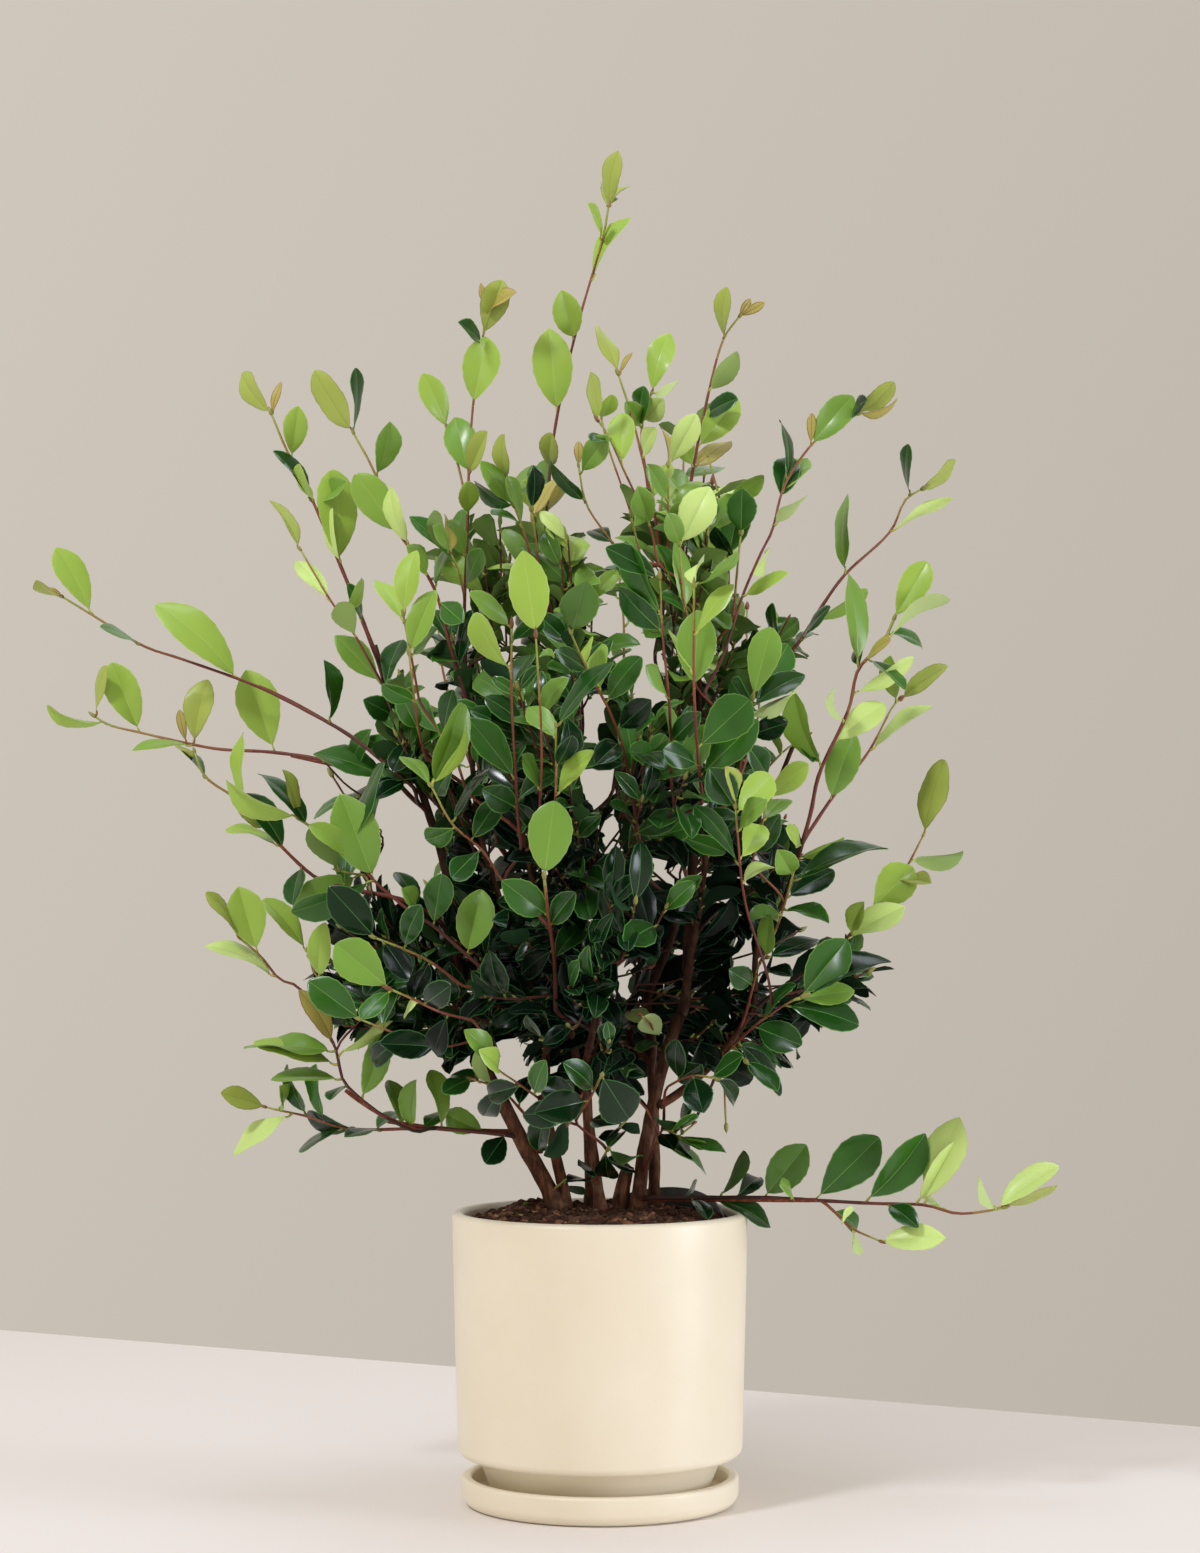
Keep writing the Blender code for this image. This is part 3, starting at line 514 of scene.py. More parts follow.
    "low_left_sliver": ((-4, -8, 0.8), ((-33, 216), (-30, 219), (-26, 222)), (
        (-26, 222, -8, 223, 6, "N"), (-29, 220, -11, 218, 4, "d"),
    )),
    "low_right_grey": ((-20, -30, 0.9), ((68, 264), (59, 257), (53, 252)), (
        (53, 252, 40, 265, 10, "d"), (54, 252, 74, 249, 7, "M"), (58, 256, 65, 275, 6, "D"),
        (53, 252, 64, 239, 6, "N"),
    )),
    "low_middle_twig": ((-10, -40, 1.0), ((-5, 223), (1, 237), (5, 244)), (
        (4, 241, 6, 225, 17, "K"), (5, 244, 16, 256, 11, "D"), (-4, 229, -15, 233, 8, "N"),
        (5, 243, 28, 241, 7, "d"), (2, 238, 24, 230, 9, "N"),
    )),
    "left_front_fan": ((-90, -112, 1.4), ((-69, 433), (-83, 454), (-103, 471), (-118, 498)), (
        (-118, 500, -97, 557, 22, "M"), (-118, 503, -94, 540, 5, "L"), (-118, 498, -139, 519, 11, "M"),
        (-103, 471, -76, 512, 7, "D"), (-90, 459, -71, 489, 18, "D"), (-101, 469, -122, 461, 17, "G"),
        (-83, 452, -104, 434, 18, "D"),
    )),
    "left_mid_fan": ((-60, -75, 1.2), ((-94, 496), (-101, 517), (-111, 534)), (
        (-111, 534, -129, 559, 15, "D"), (-101, 513, -114, 492, 13, "D"), (-111, 531, -103, 566, 14, "G"),
    )),
    "pale_back": ((55, 60, 1.1), ((39, 317), (36, 331), (29, 338)), (
        (29, 340, 41, 324, 17, "y"), (36, 331, 19, 341, 13, "Y"), (39, 321, 29, 312, 11, "K"),
    )),
}

# rear and side shoots, which lean out of the crown where the front view can't show them:
# points (x, y, z) in mm, and the radius at the root in mm
OUTER_SHOOTS = {
    "rear_right_shoot": ((86, 98, 500), (102, 136, 556), (110, 172, 606), (112, 196, 640), 1.6),
    "rear_left_shoot": ((-74, 108, 470), (-100, 142, 530), (-118, 178, 588), (-124, 204, 632), 1.6),
    "rear_low_shoot": ((24, 130, 385), (28, 170, 402), (32, 214, 428), (31, 254, 466), 1.6),
    "upper_rear_shoot": ((-36, 88, 600), (-44, 104, 650), (-50, 120, 690), (-52, 132, 722), 1.5),
    "rear_middle_shoot": ((10, 110, 500), (16, 140, 560), (18, 162, 620), (14, 176, 668), 1.4),
    "rear_right_low_shoot": ((70, 120, 380), (104, 152, 410), (128, 176, 448), (140, 190, 480), 1.4),
    "rear_left_low_shoot": ((-70, 120, 380), (-98, 146, 398), (-118, 160, 416), (-130, 172, 430), 1.4),
    "rear_top_shoot": ((40, 70, 600), (52, 92, 660), (60, 104, 716), (62, 110, 756), 1.4),
}

# openings that stay clear of filler leaves: centre across and up, half width, half height, in mm
WINDOWS = (
    (148, 668, 24, 22), (160, 586, 18, 16), (137, 631, 15, 15), (108, 622, 11, 12), (131, 547, 10, 10),
    (137, 487, 10, 10), (-137, 466, 15, 15), (-161, 662, 16, 16), (-146, 600, 9, 10), (-118, 571, 9, 12),
    (2, 699, 9, 10), (-65, 222, 18, 12), (50, 230, 9, 9), (-90, 247, 8, 8), (108, 262, 20, 16),
    (-17, 756, 12, 12), (-60, 765, 19, 18), (-127, 726, 23, 22), (-6, 543, 7, 18), (-3, 494, 8, 16),
    (8, 459, 5, 13), (42, 435, 7, 8), (-95, 516, 6, 20), (16, 363, 6, 14), (102, 721, 10, 10),
    (-157, 700, 12, 10), (-175, 508, 10, 10), (60, 770, 12, 12), (4, 610, 8, 12), (-60, 600, 7, 10),
    (211, 293, 40, 30), (212, 335, 24, 24), (178, 300, 16, 14), (232, 377, 26, 20), (168, 334, 12, 12),
    (150, 462, 14, 16), (127, 502, 12, 14), (-168, 545, 14, 20), (-126, 461, 14, 18), (-208, 545, 20, 24),
    (-205, 500, 20, 16), (168, 672, 20, 20), (168, 630, 16, 14), (-168, 588, 10, 14), (120, 545, 10, 12),
    (-132, 458, 20, 40), (-97, 532, 9, 22), (31, 572, 10, 28), (126, 546, 13, 24), (168, 482, 22, 14),
    (152, 412, 28, 14), (103, 376, 11, 16), (124, 365, 10, 14), (158, 300, 24, 20), (-160, 624, 12, 26),
    (-12, 690, 20, 14), (112, 655, 16, 40), (196, 384, 16, 12), (202, 358, 12, 12), (-176, 430, 10, 10),
    (68, 232, 14, 14), (-12, 213, 10, 8), (-122, 698, 14, 10), (-134, 656, 12, 14), (0, 664, 10, 14),
    (-118, 622, 9, 18), (-94, 618, 7, 18), (-142, 592, 10, 8), (-117, 563, 8, 16), (14, 618, 10, 10),
    (34, 576, 8, 12), (0, 500, 9, 10), (-186, 534, 20, 12), (128, 486, 16, 10), (112, 535, 8, 14),
    (160, 562, 14, 12), (150, 520, 9, 16), (154, 396, 14, 8), (-132, 304, 20, 9), (-60, 312, 10, 7),
    (148, 316, 10, 12), (126, 294, 8, 9), (-100, 700, 10, 8), (-82, 692, 8, 6), (68, 252, 12, 12),
)

# masses of old foliage: the rule grows twigs inside each of them
CORE_MASSES = (
    "lower_middle_mass", "lower_left_mass", "lower_right_mass", "lower_front_mass", "lower_rear_mass",
    "middle_left_mass", "middle_right_mass", "middle_front_mass", "middle_rear_mass", "middle_core_mass",
    "upper_left_mass", "upper_right_mass", "upper_middle_mass",
)
UPPER_SPRAYS = (
    "leader_spray", "top_left_spray", "top_middle_spray", "top_right_spray", "upper_front_spray",
    "upper_rear_spray", "shoulder_left_spray", "outer_left_spray", "shoulder_right_spray",
    "outer_right_spray",
)
SIDE_SPRAYS = (
    "side_left_spray", "side_right_spray", "low_side_right_spray", "waist_right_spray", "waist_left_spray",
    "front_right_spray", "front_left_spray", "front_low_spray", "rear_right_spray", "rear_left_spray",
    "rear_low_spray",
)
ARM_SPRAYS = (
    "upper_arm_spray", "lower_arm_spray", "lower_left_tip_spray", "low_left_spray", "low_right_spray",
)

# leaf tones: name, blade, underside, midrib and rim as sRGB, roughness, shine, clear coat, piece;
# along the rim the midrib's paler colour is a painted highlight
TONES = {
    "Y": ("yellow_lime", "C6E082", "B6CA86", "C2D486", 0.46, 0.40, 0.08, "young_leaves"),
    "L": ("lime", "9ABB49", "9CB668", "A8C260", 0.42, 0.40, 0.13, "young_leaves"),
    "P": ("deep_lime", "82A73D", "8CA65E", "92AE50", 0.40, 0.38, 0.15, "young_leaves"),
    "O": ("olive", "A2B250", "8D9558", "989A50", 0.42, 0.36, 0.10, "bronze_leaves"),
    "B": ("bronze", "ACA252", "8A8052", "94764A", 0.40, 0.34, 0.12, "bronze_leaves"),
    "M": ("fresh_green", "729B39", "7A9850", "88A84C", 0.36, 0.36, 0.22, "middle_leaves"),
    "F": ("green", "4A7226", "6A8746", "66873A", 0.34, 0.34, 0.26, "middle_leaves"),
    "G": ("deep_green", "31641A", "54743A", "64903E", 0.31, 0.32, 0.30, "middle_leaves"),
    "D": ("dark_green", "1E4815", "35562E", "548440", 0.29, 0.22, 0.34, "old_leaves"),
    "K": ("bottle_green", "0C2A10", "26442A", "3F6A3A", 0.26, 0.18, 0.36, "old_leaves"),
    "N": ("blackish_green", "07160B", "142617", "24482C", 0.27, 0.10, 0.14, "old_leaves"),
}
TONE_LADDER = "NKDGFMPLY"
TONE_STRAY = 0.20
STRAY_WIDEST = 16
# tones by age: the darkest ones, which leaves deep inside the crown get, stand partly for the leaves' age
# and partly for painted shade
TONE_AGES = (
    (0.86, "Y"), (0.74, "L"), (0.64, "P"), (0.52, "M"), (0.42, "F"), (0.30, "G"), (0.18, "D"), (0.06, "K"),
)
OLDEST_TONE = "N"
AGE_STRAY = 0.10

# limbs: curves, and where a younger limb forks from an older one
CURVE_STEPS = 12
JOINT_PULL = 0.8
JOINT_SHORTEST = 0.003
JOINT_SWELL = 1.25
JOINT_WIDEST = 0.92
JOINT_THINNEST = 0.8
FORK_ALONG = 0.55
FORK_ACROSS = 0.45
FORK_RISE = 0.1
TAPER = 0.8
THIN_SHARE = 0.9
THIN_COST = 30.0
LEAN_COST = 1.9
LEAN_GAIN = 0.5
FALL_COST = 1.4
RISE_SHARE = 1.1
LEVEL_COST = 0.8
UP = np.array((0.0, 0.0, 1.0))
EYE = np.array((0.0, -EYE_DISTANCE, EYE_HEIGHT))
HEART = np.array((-0.005, 0.005, 0.440))
STEM_MARKS = 9
BARK_STEP = 0.0035
TWIG_STEP = 0.005
TWIG_RING = 0.007
TWIG_SIDES = 6
TWIG_RADIUS = 0.0010
TIP_RADIUS = 0.0007
TIP_THINNEST = 0.5
TWIG_UNEVEN = 0.07
TWIG_WAVE = 2.1
RING_START = (0.31, 0.17, 0.93)
FORWARD = 90.0
FOREMOST = -225.0
ROOT_FORWARD = 0.45
FORWARD_HALF = 210.0
FORWARD_LOW = (240.0, 330.0)
FORWARD_HIGH = (600.0, 760.0)

# measured leaves: lengths in mm as drawn, the rest in metres, degrees or shares
USUAL_LENGTH = 46.0
YOUNG_TIP_LENGTH = 24
YOUNG_TIP_WIDTH = 0.3
SWING_SHARE = 0.7
SWING_MOST = 30.0
SWING_NEAR = 0.62
WIDTH_STRAY = (0.92, 1.08)
TURNED_DOWN = 0.2
SHOWN_FOLD = (10, 30)
SHOWN_ARCH = (0.03, 0.18)
FOLD_ALLOWANCE = 0.98
LEAF_WIDTH_SHARE = 0.46
ROLL_LIMIT = 1.22

# leaves by the rule
LOWEST_LEAF = 0.225
PHYLLOTAXIS = math.radians(144.0)
TURNS_TRIED = 6
TURN_STEP = 1.05
TURN_STRAY = 0.2
TIP_LEAVES = 2
TIP_ANGLES = (24, 44)
LEAF_ANGLES = (34, 66)
TIP_LENGTH = (0.62, 0.88)
TIP_SPACING = 0.45
SPACING_STRAY = (0.75, 1.25)
FIRST_LEAF = 0.002
LEAFY_SHARE = 0.92
LEAF_WIDTHS = (0.38, 0.49)
RULE_FOLD = (12, 36)
RULE_ARCH = (0.03, 0.30)
DROOP = np.array((0.0, 0.0, -0.35))
DROOP_MOST = 0.8
LIGHT_WAY = np.array((-0.10, -0.15, 0.55))
LEVEL = np.array((1.0, 1.0, 0.15))
HEADING_SHARE = 0.35
WANDER = 0.28
WANDER_OLD = 0.34
WANDER_YOUTH = 0.8
AGING_PER_LEAF = 0.03
USE_STRAY = 0.25
LATER_COST = 0.04
SIDE_NUDGE = 1e-4
OUTER_YOUTH = 0.60
OUTER_LEAVES = (0.019, (38, 52), 0.24)
OUTER_KEEN = -9.0
# leaves on the leaders deep in the crown get dark tones, partly for their age and partly as painted shade
LEADER_LEAF_LOW = 0.30
LEADER_SHADED_YOUTH = 0.16
LEADER_SPACING = 0.0090
LEADER_LENGTHS = (34, 48)

# cover that each mass should have, in leaves one behind the other, and twigs that bring it
WANTED_SHARE = 0.97
FRONT_LAYERS = 3.9
UPPER_LAYERS = 2.7
SIDE_LAYERS = 2.8
SIDE_WEIGHT = 0.7
FILLER_ROUNDS = 42
TIPS_TRIED = 14
TIP_SHARES = (0.15, 0.95)
SPOTS = 14
SPOTS_SPREAD = 0.022
SPOTS_BACK = 0.02
TWIG_OUTWARD = 0.9
TWIG_BALL = 0.4
TWIG_RISES = (0.5, 1.3)
LOW_TWIG = 0.40
FLATTER = np.array((1.0, 1.0, 0.6))
FILLER_LENGTHS = (0.040, 0.070)
FILLER_SAG = (0.001, 0.006)
FILLER_LEAVES = (0.0125, (32, 49))
FILLER_REACH = (0.10, 0.17)
FILLER_AGE = 0.11
JOINT_MARKS = 7
CROWN_HALF = np.array((0.20, 0.20, 0.28))
OUTERMOST = 1.15
# tone of a filler's leaves: fresher outward and upward, where the leaves are younger, and darker deep in
# the crown, partly as painted shade
SHADED_CORE_YOUTH = -0.10
OUTWARD_YOUTH_AND_LIGHT = 0.20
UPWARD_YOUTH_AND_LIGHT = 0.62
YOUTH_FROM = 0.30
YOUTH_SPAN = 0.40
YOUTH_STRAY = 0.07
FAR_COST = 5.0
LEAST_NEED = 0.35
LEAST_USE = 0.30

# charts of the front and side views: cell and left edge in mm, and what has to stay in sight
CHART_CELL = 4.0
CHART_LEFT = 420.0
CHART_COLUMNS = 210
CHART_ROWS = 260
CHART_SLACK = 0.003
NOTHING_AHEAD = 9.0
HIDING_SHARE = 0.10
OPENING_SHARE = 0.22
OPENING_COST = 4.0
STRAY_COST = 0.8
BARE_HEIGHT = 0.318
BARE_MIDDLE = 0.322
BARE_RIGHT = 0.400
RIGHT_SIDE = 0.05
LEFT_SIDE = -0.06
USUAL_RISE = 0.95
USUAL_FALL = 0.70
OUTLINE_PEAK = 0.3247
BLADE_SHARES = np.array((
    (0.25, -0.6), (0.25, 0.6), (0.5, -0.8), (0.5, 0.0), (0.5, 0.8), (0.75, -0.6), (0.75, 0.6), (0.95, 0.0),
))
GRID = (np.linspace(0.14, 0.96, 9), np.linspace(-0.9, 0.9, 5))
MARKS = (np.linspace(0.12, 0.97, 12), np.linspace(-0.9, 0.9, 7))

# a leaf's own shape: exponents of the outline towards the stalk and the tip, metres and shares
OUTLINE_RISE = (0.64, 1.00)
OUTLINE_FALL = (0.48, 0.70)
TWIST = 0.22
RIPPLE = (0.008, 0.045)
RIPPLE_WAVES = 1.6
RIPPLE_SHIFT = 1.9
STALK_LENGTH = 0.006
STALK_SHARE = 0.09
STALK_RADIUS = 0.0009
STALK_TAPER = (1.25, 0.55)
STALK_OVERLAP = 0.0012
STALK_BOW = 0.0006
STALK_SINK = 0.6
STALK_RINGS = 3
STALK_SIDES = 4
RIM_WIDTH = 0.0007
RIM_WIDEST = 0.3
RIB_WIDTH = 0.00038
RIB_TAPER = 0.6
RIB_WIDEST = 0.22
LEAF_THICK = 0.00018
LEAF_KEEL = 0.00045
KEEL_SHIFT = 0.1
FOLD_RISE = 1.25
FOLD_CURL = 0.28
QUILT = 0.00004
TOOTH = 0.019
TIP_PINCH = 0.35
NARROWEST = 1e-5
PINCH_POWER = 9
PLAIN_STATIONS = 5
FINE_STATIONS = 18
BLADE_COLUMNS = 9
BLADE, UNDER, RIB, RIM, STALK = range(5)
STRIP_KINDS = (RIM, BLADE, BLADE, RIB, BLADE, BLADE, RIM)
LEAF_PARTS = ("blade", "underside", "rib", "stalk")
# the rim takes the midrib's colour slot: a paler green that along the leaf's edge is a painted highlight
SLOT_OF = (0, 1, 2, 2, 3)
# marks on a leaf's corners: both rims, both sides of the rib, and its ends
RIM_MARKS = (1, 2)
RIB_MARKS = (3, 4)
END_MARK = 9
BUD_SIDES = 6
BUD_LENGTHS = (0.005, 0.0085)
BUD_WIDTHS = (0.17, 0.24)
BUD_ALONG = np.array((0.0, 0.18, 0.42, 0.70, 0.90, 1.0))
BUD_SHAPE = np.array((0.55, 0.95, 1.0, 0.70, 0.32, 0.05))
BUD_SUNK = 0.0008
BUDS_GREEN = 0.70

# soil
HEAP = (-0.053, 0.036)
HEAP_RADIUS = 0.017
HEAP_HEIGHT = 0.005
SOIL_ROUGHNESS = ((0.0022, 90.0), (0.0018, 240.0), (0.0012, 520.0))
SOIL_CALM = 0.35
SOIL_CALM_WIDTH = 0.006
SOIL_RINGS = 40
SOIL_SPOKES = 180
CRUMBS = 900
CRUMB_MARGIN = 0.003
CRUMB_UNEVEN = (0.75, 1.2)
CRUMB_LENGTH = (0.8, 1.9)
CRUMB_BREADTH = (0.6, 1.0)
CRUMB_LEAN = 0.18
CRUMB_TILT = 0.35
CRUMB_SUNK = (-0.1, 0.6)
CRUMB_TONES = (("peat", "4A3227"), ("bark_chip", "8A6146"), ("husk", "B0946C"), ("moss", "5A6E32"))
CRUMB_SHARES = (0.72, 0.20, 0.06, 0.02)
CRUMB_SIZES = (
    (0.0010, 0.0028, 0.8), (0.0012, 0.0034, 0.5), (0.0010, 0.0024, 0.45), (0.0012, 0.0028, 0.7),
)

# patterns, from their real size
CLOUD_SCALE = 1 / 0.060
PEEL_SCALE = 1 / 0.0022
CRUMB_SCALE = 1 / 0.006
SCUFF_SCALE = 180.0
STREAK_SCALE = 1 / 0.004
STREAK_STRETCH = 0.22
FLAKE_SCALE = 1 / 0.014
SOIL_STOPS = ((0.32, "38261D"), (0.50, "634537"), (0.66, "88674F"), (0.80, "AA8A6A"))

# kinds of shader node
COORDS = "ShaderNodeTexCoord"
NOISE = "ShaderNodeTexNoise"
RAMP = "ShaderNodeValToRGB"
BUMP = "ShaderNodeBump"
MIX = "ShaderNodeMix"
MAP_RANGE = "ShaderNodeMapRange"

# bark: sides, relief, colour stops and flakes of each piece
BARKS = {
    "stem_bark": (16, 0.16, ((0.30, "2D1B13"), (0.52, "5A3826"), (0.72, "885A3E")), "94765A"),
    "bough_bark": (10, 0.12, ((0.30, "381F17"), (0.52, "643A28"), (0.72, "88563C")), "94765A"),
    "arm_bark": (8, 0.10, ((0.30, "5A281E"), (0.52, "7C3E2C"), (0.72, "985A40")), "A87A58"),
}
BARK_SEED = Vector((3.1, 7.7, 1.9))
FINE_FURROWS = (3.0, 160.0, 0.5)
BROAD_FURROWS = (1.1, 42.0, 1.1)
# painted shade: inside the crown the bark of the stems and boughs is mixed this far towards a near-black
# brown, growing from the lower height to the upper one
CROWN_SHADE_BARK = "21140F"
CROWN_SHADE_SHARE = 0.62
CROWN_SHADE_FROM = 0.270
CROWN_SHADE_TO = 0.350

# young bark, from the tip back, leaf undersides against upper sides, buds and stalks
UNDER_SHINE = 0.6
TWIG_TONES = (
    ("green", "949A48", 0.45),
    ("tan_green", "94763F", 0.48),
    ("rust", "82492F", 0.52),
    ("crimson_brown", "6C3226", 0.58),
    ("red_brown", "582C22", 0.62),
    ("brown", "3A221A", 0.78),
)
TWIG_BANDS = (0.010, 0.022, 0.052, 0.100, 0.170)
BAND_STRAY = 0.004
FRESHNESS = (0.75, 1.3)
SHOOT_AGING = 0.50
OLD_AGING = 1.0
OLD_WOOD = 0.36
BUD_TONES = (("red_brown", "7C4E34"), ("bronze_green", "8E8C48"))
STALK_TONES = {
    "young_leaves": "B5B45C",
    "bronze_leaves": "A07F4C",
    "middle_leaves": "9AA24E",
    "old_leaves": "7F8448",
}

# table and lamps
TABLE_LENGTH = 6.0
TABLE_DEPTH = 4.0
TABLE_THICK = 0.040
TABLE_TURN = -28.96
TABLE_EDGE = (-0.052, 0.624, 0.0)
TABLE_BEVEL = 0.003
TABLE_TONE = "ECE6E2"
WORLD_STRENGTH = 1.0
WORLD_WAY = (-1.0, 0.0, 0.567)
WORLD_FROM = -0.25
WORLD_TO = 0.32
# lamp: place, target, size, watts, colour, spread
LAMPS = {
    "key": ((-1.45, -1.75, 2.45), (0.0, 0.0, 0.30), (0.42, 0.42), 41.0, "F4F6FF", 180.0),
    "top": ((0.0, -0.3, 3.3), (0.0, 0.0, 0.2), (1.0, 1.0), 18.5, "EAF1FF", 180.0),
    "fill": ((2.4, -0.85, 0.50), (0.0, 0.0, 0.35), (1.1, 1.1), 6.3, "ECF2FF", 70.0),
    "rear": ((0.9, 2.2, 2.8), (0.0, 0.0, 0.5), (1.6, 1.6), 8.0, "EAF2FF", 180.0),
}

# piece: material slot of the record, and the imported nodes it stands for
STANDS_FOR = {
    "cream_pot": ("cream_glaze", ("pot",)),
    "cream_saucer": ("cream_glaze", ("saucer",)),
    "soil_bed": ("potting_soil", ("soil",)),
    "soil_crumbs": ("potting_soil", ()),
    "grow_pot_lip": ("black_plastic", ("grow_pot_rim",)),
    "stem_bark": ("old_bark", tuple(STEMS)),
    "bough_bark": ("young_bark", MAIN_BOUGHS),
    "arm_bark": ("young_bark", ARM_BOUGHS),
    "young_twigs": ("young_bark", ()),
    "young_leaves": ("young_foliage", UPPER_SPRAYS),
    "bronze_leaves": ("young_foliage", ARM_SPRAYS),
    "middle_leaves": ("young_foliage", SIDE_SPRAYS),
    "old_leaves": ("core_foliage", CORE_MASSES),
    "leaf_buds": ("young_foliage", ()),
}


# ---------------------------------------------------------------- places and paths


def sight(across, up, depth):
    """Place that the front view shows at (across, up) when it lies at that depth, all in mm."""
    spread = 1.0 + depth * MM / EYE_DISTANCE
    return np.array((across * MM * spread, depth * MM, EYE_HEIGHT + (up * MM - EYE_HEIGHT) * spread))


def seen(places):
    """Millimetres across and up at which the front view shows each place."""
    spread = 1.0 + places[..., 1] / EYE_DISTANCE
    across = places[..., 0] / spread / MM
    up = (EYE_HEIGHT + (places[..., 2] - EYE_HEIGHT) / spread) / MM
    return across, up


def unit(vectors):
    """The same directions, each of length one."""
    return vectors / np.maximum(np.linalg.norm(vectors, axis=-1, keepdims=True), TINY)


def smooth_path(points, step):
    """Evenly spaced places on a smooth curve through the given ones."""
    knots = np.array(points, float)
    ends = np.vstack([2 * knots[0] - knots[1], knots, 2 * knots[-1] - knots[-2]])
    share = np.linspace(0, 1, CURVE_STEPS, endpoint=False)[:, None]
    pieces = []
    for a, b, c, d in zip(ends, ends[1:], ends[2:], ends[3:]):
        square = (2 * a - 5 * b + 4 * c - d) * share**2
        pieces.append(0.5 * (2 * b + (c - a) * share + square + (3 * b - a - 3 * c + d) * share**3))
    return spaced(np.vstack([*pieces, knots[-1:]]), step)


def spaced(line, step):
    """The same line with its places evenly apart, about one step."""
    reach = np.concatenate([[0.0], np.cumsum(np.linalg.norm(np.diff(line, axis=0), axis=1))])
    marks = np.linspace(0.0, reach[-1], max(3, round(reach[-1] / step) + 1))
    return np.column_stack([np.interp(marks, reach, line[:, k]) for k in range(3)])


def joint(start, start_heading, end, end_heading):
    """Curve that leaves one place along a heading and comes into another along its own."""
    reach = np.linalg.norm(end - start) * JOINT_PULL
    share = np.linspace(0, 1, CURVE_STEPS)[:, None]
    cube = share**3
    square = share**2
    return (
        (2 * cube - 3 * square + 1) * start
        + (cube - 2 * square + share) * start_heading * reach
        + (3 * square - 2 * cube) * end
        + (cube - square) * end_heading * reach
    )


# ---------------------------------------------------------------- wood


def keep_limb(line, radii, piece, leafy=0.0, age=0.0):
    """Keeps a limb, and every place along it from which a younger one can fork."""
    headings = unit(np.gradient(line, axis=0))
    limb = {"line": line, "radii": radii, "headings": headings, "piece": piece, "leafy": leafy, "age": age}
    limbs.append(limb)
    wood["place"] = np.vstack([wood["place"], line])
    wood["heading"] = np.vstack([wood["heading"], headings])
    wood["radius"] = np.concatenate([wood["radius"], radii])
    return limb


def drop_limb():
    """Takes the last limb away again, and the places along it."""
    count = len(limbs.pop()["line"])
    for key, values in wood.items():
        wood[key] = values[:-count]


def fork_for(line, radius):
    """Number of the best place for a limb to fork from, and its cost: near, thick enough, below,
    leaning its way."""
    heading = unit(line[1] - line[0])
    gap = line[0] - wood["place"]
    distance = np.linalg.norm(gap, axis=1)
    way = gap / np.maximum(distance, CLOSE)[:, None]
    lean = np.sum(way * wood["heading"], axis=1) + np.sum(way * heading, axis=1)
    fall = np.maximum(0.0, -gap[:, 2])
    thin = np.maximum(0.0, radius * THIN_SHARE - wood["radius"]) * THIN_COST
    level = np.maximum(0.0, np.linalg.norm(gap[:, :2], axis=1) - RISE_SHARE * gap[:, 2])
    cost = distance * (LEAN_COST - LEAN_GAIN * lean) + fall * FALL_COST + level * LEVEL_COST + thin
    best = int(np.argmin(cost))
    return best, float(cost[best])


def grow_from(fork, line, radius, tip_radius, piece, leafy=0.0, age=0.0):
    """Grows a limb out of a fork and on along its line, tapering to its tip."""
    start = wood["place"][fork]
    gap = line[0] - start
    if np.linalg.norm(gap) > JOINT_SHORTEST:
        leaving = unit(FORK_ALONG * wood["heading"][fork] + FORK_ACROSS * unit(gap) + UP * FORK_RISE)
        line = np.vstack([joint(start, leaving, line[0], unit(line[1] - line[0]))[:-1], line])
    else:
        line = np.vstack([start, line[1:]])
    line = spaced(line, TWIG_STEP)
    root_radius = min(radius * JOINT_SWELL, wood["radius"][fork] * JOINT_WIDEST)
    root_radius = max(root_radius, radius * JOINT_THINNEST)
    share = np.linspace(0, 1, len(line))
    radii = root_radius + (tip_radius - root_radius) * share**TAPER
    return keep_limb(line, radii, piece, leafy, age)


def drawn_path(points, step):
    """Smooth path through points given as (across, up, depth) in mm."""
    return smooth_path([sight(*point) for point in points], step)


